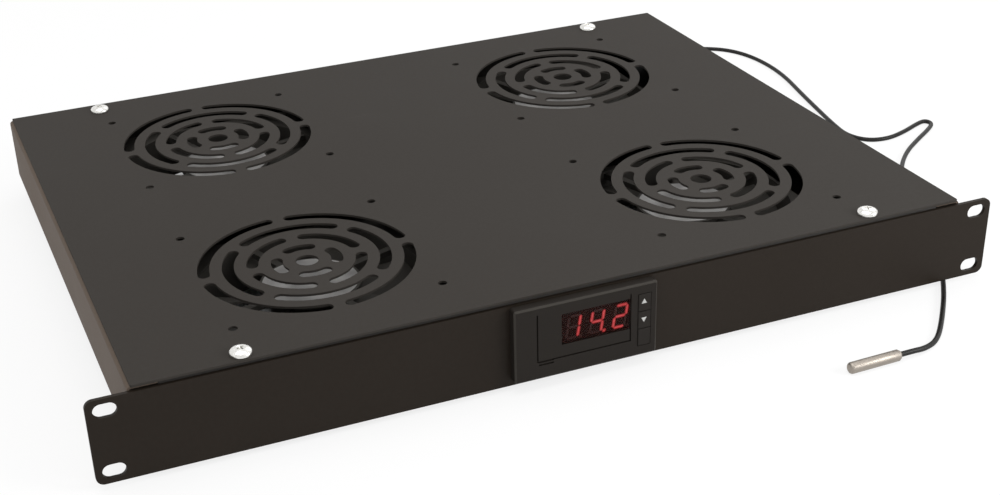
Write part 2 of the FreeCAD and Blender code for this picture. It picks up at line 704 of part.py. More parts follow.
def thermostat_clips():
    """Two toothed clips that slide along the case and press on the back of the front wall."""
    wall_inside = PANEL_BACK + SHEET
    clips = []
    for side in (-1, 1):
        inner = CASE_WIDTH / 2
        outline = [(inner, 0), (inner + 5.0, 0), (inner + 5.0, 2.0), (inner + 2.4, 4.5),
                   (inner + 1.8, 17.0), (inner + 3.6, 19.0), (inner + 3.6, 21.0), (inner, 21.0)]
        points = [Vector(side * x, wall_inside + y, CASE_Z - 7.0) for x, y in outline]
        body = Part.Face(Part.makePolygon(points + points[:1])).extrude(Vector(0, 0, 14.0))
        x = sorted((side * (inner - 0.7), side * (inner + 0.5)))
        tongue = box(x, (wall_inside + 6.0, wall_inside + 20.0), (CASE_Z - 1.3, CASE_Z + 1.3))
        clips.append(fuse([body, tongue]))
    return Part.makeCompound(clips)


def display_window():
    """Red filter in the bezel's window."""
    return centred_box(WINDOW_X, BEZEL_FRONT + 1.0, WINDOW_Z, WINDOW_WIDTH, 1.4, WINDOW_HEIGHT)


def display_module():
    """Three-digit LED block on the display board."""
    depth = (BEZEL_FRONT + BEZEL_WALL + 0.2, DISPLAY_BACK)
    return box((WINDOW_X - 18.8, WINDOW_X + 18.8), depth, (WINDOW_Z - 8.6, WINDOW_Z + 8.6))


def display_board():
    """Upright board that carries the display and the key switches."""
    return box((-33.0, 33.2), (DISPLAY_BACK, DISPLAY_BACK + BOARD_THICK), (15.6, 40.4))


def key_switches():
    """Three push switches behind the keys."""
    return Part.makeCompound([
        box((KEY_STRIP_X - 2.2, KEY_STRIP_X + 1.8), (SWITCH_FRONT, DISPLAY_BACK),
            (z + SWITCH_RISE - 2.0, z + SWITCH_RISE + 2.0))
        for z in KEY_MIDDLES
    ])


def key(z):
    """One key: domed cap in the bezel's slot and a stem to its switch."""
    front = BEZEL_FRONT - KEY_PROUD
    cap = box((KEY_STRIP_X - KEY_WIDTH / 2, KEY_STRIP_X + KEY_WIDTH / 2), (front, front + 3.2),
              (z - KEY_HEIGHT / 2, z + KEY_HEIGHT / 2))
    rim = [e for e in cap.Edges if e.BoundBox.YMax < front + 0.01]
    cap = cap.makeChamfer(0.3, rim)
    stem = rod_y(KEY_STRIP_X - 0.2, z + SWITCH_RISE, (front + 3.0, SWITCH_FRONT - KEY_TRAVEL - 0.3), 1.2)
    return fuse([cap, stem])


def control_board():
    """Main board along the case."""
    return box((-33.0, 33.0), (DISPLAY_BACK + BOARD_THICK, CASE_BACK - CASE_WALL), (17.2, 18.8))


def transformer():
    """Mains transformer on the main board."""
    core = box((-28.0, -4.0), (FRONT + 22.0, FRONT + 44.0), (18.8, 34.0))
    bobbin = box((-23.0, -9.0), (FRONT + 18.0, FRONT + 48.0), (19.8, 33.0))
    return fuse([core, bobbin])


def relay():
    """Output relay on the main board."""
    return box((6.0, 24.0), (FRONT + 22.0, FRONT + 46.0), (18.8, 33.0))


def terminal_block():
    """Screw terminals on the back of the case."""
    block = box((-30.0, 30.0), TERMINAL_Y, TERMINAL_Z)
    wells = [rod(x, TERMINAL_Y[0] + 6.0, (TERMINAL_Z[1] - 3.0, TERMINAL_Z[1] + 1.0), 2.2) for x in TERMINAL_X]
    return block.cut(Part.makeCompound(wells))


# ---------------------------------------------------------------- mains inlet and wiring

def power_inlet():
    """Three-pole appliance inlet with its screw flange, socket outwards."""
    flange_wire = rounded_rectangle(INLET_X, INLET_Z, INLET_FLANGE[0], INLET_FLANGE[1], 4.0)
    screw_holes = [round_hole(INLET_X + sx * INLET_SCREW_X, INLET_Z, INLET_SCREW_R + 0.1) for sx in (-1, 1)]
    flange = stand_up(plate(flange_wire, screw_holes, INLET_FLANGE[2]), BACK)
    body = centred_box(INLET_X, BACK - INLET_DEPTH / 2, INLET_Z, INLET_BODY[0], INLET_DEPTH, INLET_BODY[1])
    inlet = fuse([flange, body])
    mouth = BACK + INLET_FLANGE[2]
    half = INLET_CAVITY[0] / 2
    low = INLET_Z - INLET_CAVITY[1] / 2
    high = INLET_Z + INLET_CAVITY[1] / 2
    chamfer = 4.5
    outline = [(-half, low), (half, low), (half, high - chamfer), (half - chamfer, high),
               (chamfer - half, high), (-half, high - chamfer)]
    points = [Vector(INLET_X + x, mouth + 1.0, z) for x, z in outline]
    cavity = Part.Face(Part.makePolygon(points + points[:1])).extrude(Vector(0, -INLET_CAVITY[2] - 1.0, 0))
    return inlet.cut(cavity).cut(inlet_pins())


def inlet_pins():
    """Line, neutral and earth pins, with their tabs inside the tray."""
    ends = (BACK - INLET_DEPTH - 6.0, BACK + INLET_FLANGE[2] - 2.0)
    return Part.makeCompound([
        box((INLET_X + x - 1.0, INLET_X + x + 1.0), ends, (INLET_Z + z - 2.0, INLET_Z + z + 2.0))
        for x, z in INLET_PINS
    ])


def inlet_screws():
    """Two M3 screws that hold the inlet to the rear wall."""
    seat = BACK + INLET_FLANGE[2]
    screws = []
    for sx in (-1, 1):
        x = INLET_X + sx * INLET_SCREW_X
        shank = rod_y(x, INLET_Z, (BACK - 6.0, seat), INLET_SCREW_R)
        head = rod_y(x, INLET_Z, (seat, seat + 1.8), 2.8)
        screws.append(fuse([shank, head]))
    return Part.makeCompound(screws)


def earth_stud():
    """Earthing stud on the pan, with its nut."""
    x, y = INLET_X - 30.0, BACK - 16.0
    outline = [(0, PAN_TOP), (5.5, PAN_TOP), (5.5, PAN_TOP + 1.0), (4.2, PAN_TOP + 1.0),
               (4.2, PAN_TOP + 4.2), (2.0, PAN_TOP + 4.2), (2.0, PAN_TOP + 12.0), (0, PAN_TOP + 12.0)]
    return revolve(outline, x, y)


def sensor_gland():
    """Rubber bush that carries the sensor cable through the rear wall."""
    inside = BACK - SHEET
    outline = [
        (CABLE_D / 2, -2.0 - SHEET), (GLAND_FLANGE_R - 1.0, -2.0 - SHEET), (GLAND_FLANGE_R - 1.0, -SHEET),
        (GLAND_NECK_R, -SHEET), (GLAND_NECK_R, 0), (GLAND_FLANGE_R, 0), (GLAND_FLANGE_R, 1.6),
        (3.4, 2.4), (2.4, REAR_PROUD), (CABLE_D / 2, REAR_PROUD),
    ]
    bush = revolve(outline)
    bush.rotate(Vector(0, 0, 0), Vector(1, 0, 0), -90)
    return moved(bush, GLAND_X, inside + SHEET, GLAND_Z)


def corner_radius(before, corner, after):
    """Largest smooth radius at a corner, and half its turn."""
    half_turn = (corner - before).getAngle(after - corner) / 2
    shorter = min((corner - before).Length, (after - corner).Length)
    return 0.45 * shorter / math.tan(half_turn), half_turn


def route(points, report=None):
    """A path of straight runs joined by arcs that touch them."""
    edges = []
    start = points[0]
    for before, corner, after in zip(points, points[1:], points[2:]):
        radius, half_turn = corner_radius(before, corner, after)
        if report:
            print(report, "radius", round(radius, 1))
        back = radius * math.tan(half_turn)
        enter = corner + (before - corner).normalize() * back
        leave = corner + (after - corner).normalize() * back
        inward = ((enter + leave) * 0.5 - corner).normalize()
        middle = corner + inward * (radius / math.cos(half_turn) - radius)
        edges.append(Part.makeLine(start, enter))
        edges.append(Part.Arc(enter, middle, leave).toShape())
        start = leave
    edges.append(Part.makeLine(start, points[-1]))
    return Part.Wire(edges)


def round_lead(points, diameter, report=None):
    """A round cable along a route."""
    path = route(points, report)
    ring = Part.makeCircle(diameter / 2, points[0], points[1] - points[0])
    lead = path.makePipeShell([Part.Wire([ring])], True, False)
    if report:
        section = math.pi * diameter ** 2 / 4
        print(report, "length", round(path.Length, 1), "volume ratio",
              round(lead.Volume / (section * path.Length), 4))
    return lead


def flat_lead(points, width, height):
    """A flat twin cable along a level route."""
    path = route(points)
    along = (points[1] - points[0]).normalize()
    across = Vector(-along.y, along.x, 0) * (width / 2)
    up = Vector(0, 0, height / 2)
    start = points[0]
    corners = [start - across - up, start + across - up, start + across + up, start - across + up]
    ring = Part.Wire(Part.makePolygon(corners + corners[:1]))
    return path.makePipeShell([ring], True, False)


def fan_leads():
    """Flat leads from the four fans along the middle aisle to the terminals."""
    end = TERMINAL_Y[1]
    front_y = FAN_CENTRES[0][1] + 20.0
    back_y = FAN_CENTRES[2][1] - 20.0
    routes = [
        [(AISLE[0], front_y), (TERMINAL_X[0], front_y), (TERMINAL_X[0], end)],
        [(AISLE[0], back_y), (TERMINAL_X[1], back_y), (TERMINAL_X[1], end)],
        [(AISLE[1], back_y), (TERMINAL_X[4], back_y), (TERMINAL_X[4], end)],
        [(AISLE[1], front_y), (TERMINAL_X[5], front_y), (TERMINAL_X[5], end)],
    ]
    return Part.makeCompound([
        flat_lead([Vector(x, y, LEAD_Z) for x, y in points], LEAD_SIZE[0], LEAD_SIZE[1]) for points in routes
    ])


def supply_lead():
    """Mains lead from the inlet to the terminals."""
    x = TERMINAL_X[2]
    low = Vector(0, 0, PAN_TOP + 3.0)
    start = BACK - INLET_DEPTH
    points = [Vector(x, start, INLET_Z - 6.5), Vector(x, start - 12.0, INLET_Z - 6.5),
              Vector(x, start - 34.0, low.z), Vector(x, TERMINAL_Y[1], low.z)]
    return round_lead(points, 5.0)


def sensor_inner_lead():
    """Sensor cable inside the tray, from the terminals to the gland's outer end."""
    z = PAN_TOP + 2.0
    y = FAN_CENTRES[2][1] + FAN_SIZE / 2 + 12.0
    points = [
        Vector(TERMINAL_X[3], TERMINAL_Y[1], z), Vector(TERMINAL_X[3], y, z),
        Vector(GLAND_X - 36.0, y + 1.0, z), Vector(GLAND_X - 14.0, y + 2.5, GLAND_Z - 3.0),
        Vector(GLAND_X, BACK - 14.0, GLAND_Z), Vector(GLAND_X, BACK + REAR_PROUD, GLAND_Z),
    ]
    return round_lead(points, CABLE_D)


def sensor_cable():
    """Free sensor cable from the gland, round the right of the tray and under its ear, to the probe."""
    return round_lead([Vector(*p) for p in CABLE_ROUTE], CABLE_D, "sensor_cable")


def sensor_probe():
    """Stainless sleeve, crimped on to the cable."""
    start = Vector(*CABLE_ROUTE[-1])
    axis = (start - Vector(*CABLE_ROUTE[-2])).normalize()
    neck = 2.3
    outline = [(0, 0), (neck, 0), (neck, 3.6), (PROBE_D / 2, 5.2), (PROBE_D / 2, PROBE_LENGTH - 1.2),
               (PROBE_D / 2 - 1.2, PROBE_LENGTH), (0, PROBE_LENGTH)]
    sleeve = revolve(outline)
    turn = FreeCAD.Rotation(Vector(0, 0, 1), axis)
    sleeve.Placement = FreeCAD.Placement(start, turn)
    return sleeve


# ---------------------------------------------------------------- write every node


def fan_nodes():
    """One copy of each fan piece at each fan's place."""
    pieces = {
        "fan_frame": fan_frame(),
        "fan_rotor": fan_rotor(),
        "fan_shaft": fan_shaft(),
        "fan_magnet": fan_magnet(),
        "fan_stator": fan_stator(),
    }
    for number, (x, y) in enumerate(FAN_CENTRES, 1):
        for name, shape in pieces.items():
            save(name + "_" + str(number), moved(shape, x, y, PAN_TOP))
    boards = [moved(fan_board(), x, y, PAN_TOP) for x, y in FAN_CENTRES]
    bearings = [moved(b, x, y, PAN_TOP) for x, y in FAN_CENTRES for b in fan_bearing_pair()]
    labels = [moved(fan_label(), x, y, PAN_TOP) for x, y in FAN_CENTRES]
    rings = [moved(ring, x, y) for x, y in FAN_CENTRES for ring in guard_rings()]
    arms = [moved(arm, x, y) for x, y in FAN_CENTRES for arm in guard_arms()]
    save("fan_boards", Part.makeCompound(boards))
    save("fan_bearings", Part.makeCompound(bearings))
    save("fan_labels", Part.makeCompound(labels))
    save("guard_rings", Part.makeCompound(rings))
    save("guard_arms", Part.makeCompound(arms))


def main():
    os.makedirs("parts", exist_ok=True)
    fan_nodes()
    singles = [
        front_panel, panel_nuts, chassis_tray, side_walls, front_wall, rear_wall, top_cover,
        cover_screws, cover_nuts, fan_screws, fan_nuts,
        thermostat_bezel, thermostat_case, thermostat_clips, display_window, display_module, display_board,
        key_switches, control_board, transformer, relay, terminal_block, power_inlet, inlet_pins,
        inlet_screws, earth_stud, sensor_gland, fan_leads, supply_lead, sensor_inner_lead, sensor_cable,
        sensor_probe,
    ]
    for make in singles:
        save(make.__name__, make())
    for name, z in zip(("up_key", "down_key", "set_key"), KEY_MIDDLES):
        save(name, key(z))


main()
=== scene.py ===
import bpy
import bmesh
import math
from mathutils import Matrix, Vector


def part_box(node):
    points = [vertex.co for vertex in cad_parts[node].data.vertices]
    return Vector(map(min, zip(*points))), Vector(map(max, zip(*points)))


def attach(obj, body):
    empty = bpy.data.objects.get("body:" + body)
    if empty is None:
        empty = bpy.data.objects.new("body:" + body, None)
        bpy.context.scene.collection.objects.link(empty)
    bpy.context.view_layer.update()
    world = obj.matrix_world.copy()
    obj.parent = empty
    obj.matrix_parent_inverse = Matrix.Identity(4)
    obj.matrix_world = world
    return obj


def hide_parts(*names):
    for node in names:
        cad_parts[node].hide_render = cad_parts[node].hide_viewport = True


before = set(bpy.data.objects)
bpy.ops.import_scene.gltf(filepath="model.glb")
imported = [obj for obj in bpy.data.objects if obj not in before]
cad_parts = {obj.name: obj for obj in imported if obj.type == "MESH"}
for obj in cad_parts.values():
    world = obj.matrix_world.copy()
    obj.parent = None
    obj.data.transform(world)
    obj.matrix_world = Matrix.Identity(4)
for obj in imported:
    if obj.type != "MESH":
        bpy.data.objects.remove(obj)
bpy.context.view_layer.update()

# Rack fan tray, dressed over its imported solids: camera, cable, small fittings, thermostat face,
# finishes and stage.

MM = 0.001

# ---------------------------------------------------------------- sizes, mostly read from the frame

LOW, HIGH = 0, 1  # the two corners of a box


def middle_of(node):
    """Middle of a node's box."""
    low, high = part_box(node)
    return (low + high) / 2


COVER_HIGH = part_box("top_cover")[HIGH]
SCREWS_LOW, SCREWS_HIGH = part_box("cover_screws")
GUARD_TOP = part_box("guard_arms")[HIGH].z
FAN_SCREW_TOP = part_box("fan_screws")[HIGH].z
DISPLAY_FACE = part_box("display_module")[LOW].y
FANS = [middle_of(f"fan_frame_{number}") for number in (1, 2, 3, 4)]
FAN_HOLE = 52.5 * MM  # from a fan's middle to its holes, along X and along Y
GUARD_WIRE = 2.0 * MM
# heads and shanks are given by radius, the cable and the probe by width
COVER_HEAD = 5.6 * MM
COVER_SHANK = 2.5 * MM
FAN_HEAD = 3.7 * MM
FAN_SHANK = 2.0 * MM
CABLE_WIDTH = 2.8 * MM
PROBE_WIDTH = 6.0 * MM
PROBE_LENGTH = 30.0 * MM
TIP_RADIUS = 1.5 * MM

# ---------------------------------------------------------------- camera

CAMERA_PLACE = (-0.30116, -0.79105, 0.41325)
CAMERA_ANGLES = (-21.56, 28.97, -1.95)  # turn, rise and roll, in degrees
CAMERA_LENS = 57.76
CAMERA_SHIFT = (0.0271, 0.0697)


def aim_camera():
    """Camera in front of the tray, left of its middle and above it."""
    turn, rise, roll = (math.radians(angle) for angle in CAMERA_ANGLES)
    back = Vector((math.sin(turn) * math.cos(rise), -math.cos(turn) * math.cos(rise), math.sin(rise)))
    right = Vector((0, 0, 1)).cross(back).normalized()
    up = back.cross(right)
    right, up = (right * math.cos(roll) + up * math.sin(roll),
                 up * math.cos(roll) - right * math.sin(roll))
    data = bpy.data.cameras.new("tray_camera")
    data.sensor_width = 36.0
    data.lens = CAMERA_LENS
    data.shift_x, data.shift_y = CAMERA_SHIFT
    camera = bpy.data.objects.new("tray_camera", data)
    bpy.context.scene.collection.objects.link(camera)
    turned_to = Matrix((right, up, back)).transposed().to_4x4()
    camera.matrix_world = Matrix.Translation(CAMERA_PLACE) @ turned_to
    bpy.context.scene.camera = camera


# ---------------------------------------------------------------- sensor cable

LAID = 0.0014  # height of the cable's middle where it lies on the floor
CABLE_ROUTE = [
    (0.15, 0.1799, 0.024), (0.15, 0.191, 0.024), (0.1515, 0.204, 0.0165), (0.156, 0.2145, 0.0065),
    (0.166, 0.2225, LAID), (0.184, 0.2295, LAID), (0.21, 0.2325, LAID), (0.24, 0.229, LAID),
    (0.266, 0.2205, LAID), (0.2875, 0.2105, LAID), (0.3015, 0.2, LAID), (0.3095, 0.1825, LAID),
    (0.312, 0.158, LAID), (0.3095, 0.131, LAID), (0.3025, 0.101, LAID), (0.2955, 0.068, LAID),
    (0.29, 0.041, LAID), (0.2875, 0.0225, LAID), (0.294, 0.009, LAID), (0.308, 0.0055, LAID),
    (0.324, 0.0105, LAID), (0.3385, 0.0175, LAID), (0.3472, 0.0205, LAID), (0.349, 0.014, LAID),
    (0.34, 0.0065, LAID), (0.325, -0.0035, LAID), (0.305, -0.018, LAID), (0.2865, -0.038, LAID),
    (0.2685, -0.068, LAID), (0.2515, -0.108, LAID), (0.235, -0.146, LAID), (0.2135, -0.1795, LAID),
    (0.1905, -0.208, LAID), (0.176, -0.2235, LAID), (0.1655, -0.2283, 0.0019),
    (0.1568, -0.2294, 0.003), (0.1485, -0.2296, 0.003),
]


def sensor_cable():
    """The probe's cable, one smooth curve from the gland round the side and under the ear."""
    curve = bpy.data.curves.new("sensor_lead", "CURVE")
    curve.dimensions = "3D"
    curve.bevel_depth = 1.0  # the points' radius gives the width
    curve.bevel_resolution = 5
    curve.resolution_u = 10
    curve.use_fill_caps = True
    line = curve.splines.new("NURBS")
    line.points.add(len(CABLE_ROUTE) - 1)
    for point, place in zip(line.points, CABLE_ROUTE):
        point.co = (*place, 1.0)
        point.radius = CABLE_WIDTH / 2
    line.order_u = 3
    line.use_endpoint_u = True
    cable = bpy.data.objects.new("sensor_lead", curve)
    bpy.context.scene.collection.objects.link(cable)
    return cable


# ---------------------------------------------------------------- modelling helpers


def deselect():
    """Leave nothing selected."""
    bpy.ops.object.select_all(action="DESELECT")


def take(piece):
    """Make one piece the selected and active one."""
    deselect()
    piece.select_set(True)
    bpy.context.view_layer.objects.active = piece


def new_piece(name, operator, **settings):
    """A primitive under its own name."""
    deselect()
    operator(**settings)
    piece = bpy.context.active_object
    piece.name = name
    piece.data.name = name
    return piece


def pick_faces(piece, wanted):
    """In edit mode, select the faces that wanted(centre, normal) accepts."""
    mesh = bmesh.from_edit_mesh(piece.data)
    for element in [*mesh.verts, *mesh.edges, *mesh.faces]:
        element.select = False
    for face in mesh.faces:
        if wanted(face.calc_center_median(), face.normal):
            face.select_set(True)
    mesh.select_flush(True)
    bmesh.update_edit_mesh(piece.data)


def put_in_place(piece):
    """Move, turn and size go into the mesh, so the object itself is at the origin."""
    take(piece)
    bpy.ops.object.transform_apply(location=True, rotation=True, scale=True)


def apply_modifier(piece, kind, **settings):
    """Add one modifier and apply it."""
    take(piece)
    modifier = piece.modifiers.new(kind.lower(), kind)
    for key, value in settings.items():
        setattr(modifier, key, value)
    bpy.ops.object.modifier_apply(modifier=modifier.name)


def tidy_mesh(piece, smooth_angle=35.0):
    """Merge doubles, turn all faces outwards and smooth the gentle edges."""
    take(piece)
    bpy.ops.object.mode_set(mode="EDIT")
    bpy.ops.mesh.select_all(action="SELECT")
    bpy.ops.mesh.remove_doubles(threshold=0.00001)
    bpy.ops.mesh.normals_make_consistent(inside=False)
    bpy.ops.object.mode_set(mode="OBJECT")
    bpy.ops.object.shade_smooth_by_angle(angle=math.radians(smooth_angle))


def join(name, pieces):
    """Several pieces as one."""
    deselect()
    for piece in pieces:
        piece.select_set(True)
    bpy.context.view_layer.objects.active = pieces[0]
    bpy.ops.object.join()
    joined = bpy.context.active_object
    joined.name = name
    joined.data.name = name
    put_in_place(joined)
    return joined


def turn_mesh(piece, rotation, offset):
    """Turn a finished mesh and shift it."""
    piece.data.transform(Matrix.Translation(offset) @ rotation.to_4x4())


def shift_mesh(piece, offset):
    """Shift a finished mesh."""
    piece.data.transform(Matrix.Translation(offset))


def copy_to(piece, name, offset):
    """A copy with a mesh of its own, shifted by offset."""
    copy = piece.copy()
    copy.data = piece.data.copy()
    copy.name = name
    copy.data.name = name
    bpy.context.scene.collection.objects.link(copy)
    shift_mesh(copy, offset)
    return copy


def turned(name, stations, sides=40):
    """A turned form along Z: a disc drawn out and resized from one (height, radius) to the next."""
    height, radius = stations[0]
    piece = new_piece(name, bpy.ops.mesh.primitive_circle_add, vertices=sides, radius=radius,
                      fill_type="NGON", location=(0, 0, height))
    put_in_place(piece)
    bpy.ops.object.mode_set(mode="EDIT")
    bpy.ops.mesh.select_all(action="SELECT")
    for next_height, next_radius in stations[1:]:
        bpy.ops.mesh.extrude_region_move(
            TRANSFORM_OT_translate={"value": (0, 0, next_height - height)})
        ratio = next_radius / radius
        bpy.ops.transform.resize(value=(ratio, ratio, 1.0), center_override=(0, 0, next_height))
        height, radius = next_height, next_radius
    bpy.ops.object.mode_set(mode="OBJECT")
    tidy_mesh(piece)
    return piece


RECESS_TAPER = 0.45


def cross_recess(name, top, depth, reach, width):
    """Cutter for a cross recess: two crossed wedges, narrower towards their tips."""
    wings = []
    for turn in (0, 90):
        wing = new_piece(name, bpy.ops.mesh.primitive_cube_add, size=1.0)
        wing.scale = (2 * reach, width, 2 * depth)
        wing.rotation_euler[2] = math.radians(turn)
        wing.location = (0, 0, top)
        put_in_place(wing)
        bpy.ops.object.mode_set(mode="EDIT")
        pick_faces(wing, lambda centre, normal: normal.z < -0.9)
        bpy.ops.transform.resize(value=(RECESS_TAPER, RECESS_TAPER, 1.0), center_override=(0, 0, top - depth))
        bpy.ops.object.mode_set(mode="OBJECT")
        wings.append(wing)
    apply_modifier(wings[0], "BOOLEAN", object=wings[1], operation="UNION", solver="EXACT")
    bpy.data.objects.remove(wings[1])
    return wings[0]


THREAD_PITCH = 0.36  # both as shares of the shank's radius
THREAD_ROOT = 0.86


def screw(name, head, shank_radius, shank_end, recess):
    """A cross-head screw: head stations from under the head up, a threaded shank below z = 0.

    The recess is its depth, reach and width.
    """
    pitch = shank_radius * THREAD_PITCH
    thread = []
    height = shank_end
    while height < -pitch:
        thread += [(height, shank_radius * THREAD_ROOT), (height + pitch / 2, shank_radius)]
        height += pitch
    neck = (-0.2 * MM, shank_radius * 0.9)
    body = turned(name, thread + [neck] + head, sides=32)
    cutter = cross_recess(name + "_recess", head[-1][0], *recess)
    apply_modifier(body, "BOOLEAN", object=cutter, operation="DIFFERENCE", solver="EXACT")
    bpy.data.objects.remove(cutter)
    tidy_mesh(body, 30.0)
    return body


# ---------------------------------------------------------------- fittings

SCREW_TWIST = math.radians(23)


def cover_screws():
    """Four bright truss-head screws in the cover, each turned a little further than the last."""
    crown = SCREWS_HIGH.z - COVER_HIGH.z
    rim = 0.9 * MM
    head = [(0.0, COVER_HEAD * 0.97), (rim * 0.4, COVER_HEAD), (rim, COVER_HEAD * 0.985)]
    for step in range(1, 7):
        angle = step / 6 * math.pi / 2
        head.append((rim + (crown - rim) * math.sin(angle), COVER_HEAD * (0.18 + 0.8 * math.cos(angle))))
    recess = (1.7 * MM, COVER_HEAD * 0.5, 1.1 * MM)
    first = screw("cover_screw_1", head, COVER_SHANK, SCREWS_LOW.z - COVER_HIGH.z, recess)
    corners = [(x, y) for x in (SCREWS_LOW.x + COVER_HEAD, SCREWS_HIGH.x - COVER_HEAD)
               for y in (SCREWS_LOW.y + COVER_HEAD, SCREWS_HIGH.y - COVER_HEAD)]
    made = []
    for number, (x, y) in enumerate(corners, 1):
        made.append(copy_to(first, f"bright_cover_screw_{number}", (x, y, COVER_HIGH.z)))
        turn_about = Matrix.Rotation(SCREW_TWIST * number, 4, "Z")
        centre = Matrix.Translation((x, y, 0))
        made[-1].data.transform(centre @ turn_about @ centre.inverted())
        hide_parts("cover_screws")
    bpy.data.objects.remove(first)
    return made


def guard_screws():
    """Sixteen pan-head screws that hold fans and guards from below."""
    under_head = GUARD_TOP - GUARD_WIRE
    head = [(0.0, FAN_HEAD), (1.2 * MM, FAN_HEAD * 0.96), (1.9 * MM, FAN_HEAD * 0.8),
            (2.4 * MM, FAN_HEAD * 0.5)]
    recess = (1.4 * MM, FAN_HEAD * 0.55, 0.8 * MM)
    first = screw("guard_screw", head, FAN_SHANK, under_head - FAN_SCREW_TOP, recess)
    turn_mesh(first, Matrix.Rotation(math.pi, 3, "X"), Vector((0, 0, under_head)))
    made = []
    for fan in FANS:
        for sx in (-1, 1):
            for sy in (-1, 1):
                place = (fan.x + sx * FAN_HOLE, fan.y + sy * FAN_HOLE, 0)
                made.append(copy_to(first, f"guard_screw_{len(made)}", place))
    bpy.data.objects.remove(first)
    screws = join("guard_screws", made)
    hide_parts("fan_screws")
    return screws


def probe_sleeve():
    """Plain stainless sleeve: bevelled where the cable enters, with a closed round tip."""
    radius = PROBE_WIDTH / 2
    tip = PROBE_LENGTH - TIP_RADIUS
    stations = [(0.0, radius * 0.78), (0.5 * MM, radius * 0.86), (1.1 * MM, radius),
                (PROBE_LENGTH * 0.5, radius), (tip, radius)]
    for step in range(1, 5):
        angle = step / 4 * 1.5  # short of a quarter turn, so that the last disc keeps a width
        stations.append((tip + TIP_RADIUS * math.sin(angle), radius - TIP_RADIUS * (1 - math.cos(angle))))
    sleeve = turned("probe_sleeve", stations, sides=48)
    axis = (Vector(CABLE_ROUTE[-1]) - Vector(CABLE_ROUTE[-2])).normalized()
    turn_mesh(sleeve, Vector((0, 0, 1)).rotation_difference(axis).to_matrix(), Vector(CABLE_ROUTE[-1]))
    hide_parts("sensor_probe")
    return sleeve


# ---------------------------------------------------------------- thermostat face

DIGIT_PITCH = 12.7 * MM
DIGIT_HEIGHT = 13.1 * MM
DIGIT_WIDTH = 7.4 * MM
SEGMENT = 1.25 * MM
LIT_CORE = 0.8 * MM
RED_BLEED = 1.8 * MM
SLANT = math.radians(9.0)
SEGMENT_DEPTH = 0.08 * MM
UPRIGHT_GAP = 0.45 * MM  # what a bar is short of its place
ACROSS_GAP = 0.55 * MM
POINT_OFFSET = 1.7 * MM
POINT_RADIUS = 0.62  # these three as shares of a bar's width
BAR_TIP = 0.42
BAR_TIP_WIDTH = 0.12
READING_SHIFT = Vector((1.3 * MM, 0.0, -1.0 * MM))
LIT = {"1": "bc", "4": "bcfg", "2": "abged", "all": "abcdefg"}


def segment_bar(name, length, width):
    """One bar of a digit, with pointed ends, lying along X in the XZ plane."""
    bar = new_piece(name, bpy.ops.mesh.primitive_cube_add, size=1.0)
    bar.scale = (length - SEGMENT, SEGMENT_DEPTH, width)
    put_in_place(bar)
    bpy.ops.object.mode_set(mode="EDIT")
    for side in (-1, 1):
        pick_faces(bar, lambda centre, normal: normal.x * side > 0.9)
        bpy.ops.mesh.extrude_region_move(TRANSFORM_OT_translate={"value": (side * width * BAR_TIP, 0, 0)})
        bpy.ops.transform.resize(value=(1, 1, BAR_TIP_WIDTH), center_override=(0, 0, 0))
    bpy.ops.object.mode_set(mode="OBJECT")
    return bar


def digit(name, segments, point, width=SEGMENT):
    """Chosen segments of one leaning digit about the origin, and its point."""
    half_height, half_width = DIGIT_HEIGHT / 2 - SEGMENT / 2, DIGIT_WIDTH / 2 - SEGMENT / 2
    upright = half_height - UPRIGHT_GAP
    across = DIGIT_WIDTH - SEGMENT - ACROSS_GAP
    places = {
        "a": (0, half_height, False), "g": (0, 0, False), "d": (0, -half_height, False),
        "f": (-half_width, half_height / 2, True), "b": (half_width, half_height / 2, True),
        "e": (-half_width, -half_height / 2, True), "c": (half_width, -half_height / 2, True),
    }
    bars = []
    for key in segments:
        x, z, stands = places[key]
        bar = segment_bar(f"{name}_{key}", upright if stands else across, width)
        turn = Matrix.Rotation(math.pi / 2 if stands else 0, 3, "Y")
        turn_mesh(bar, turn, Vector((x, 0, z)))
        bars.append(bar)
    if point:
        dot = new_piece(f"{name}_point", bpy.ops.mesh.primitive_cylinder_add, vertices=20,
                        radius=width * POINT_RADIUS, depth=SEGMENT_DEPTH, rotation=(math.pi / 2, 0, 0),
                        location=(half_width + POINT_OFFSET, 0, -half_height))
        put_in_place(dot)
        bars.append(dot)
    whole = join(name, bars)
    lean = Matrix(((1, 0, math.tan(SLANT), 0), (0, 1, 0, 0), (0, 0, 1, 0), (0, 0, 0, 1)))
    whole.data.transform(lean)
    return whole


def display_reading():
    """The lit number 14.2, the red light that bleeds round it, and the unlit segments."""
    middle = middle_of("display_window")
    face = DISPLAY_FACE - SEGMENT_DEPTH / 2
    lit, bleed, unlit = [], [], []
    for place, (figure, point) in enumerate((("1", False), ("4", True), ("2", False))):
        spot = Vector((middle.x + (place - 1) * DIGIT_PITCH, face, middle.z)) + READING_SHIFT
        bright = digit(f"lit_{place}", LIT[figure], point, LIT_CORE)
        shift_mesh(bright, spot)
        lit.append(bright)
        around = digit(f"bleed_{place}", LIT[figure], point, RED_BLEED)
        shift_mesh(around, spot + Vector((0, SEGMENT_DEPTH / 2, 0)))
        bleed.append(around)
        rest = [key for key in LIT["all"] if key not in LIT[figure]]
        faint = digit(f"unlit_{place}", rest, not point)
        shift_mesh(faint, spot)
        unlit.append(faint)
    pieces = [join("display_number", lit), join("display_red_bleed", bleed),
              join("display_unlit_segments", unlit)]
    for piece in pieces:
        tidy_mesh(piece)
    return pieces


ARROW_SHIFT = Vector((-0.4 * MM, 0.0, 0.6 * MM))
ARROW_RADIUS = 1.75 * MM
ARROW_DEPTH = 0.06 * MM
ARROW_ROUNDING = 0.15 * MM


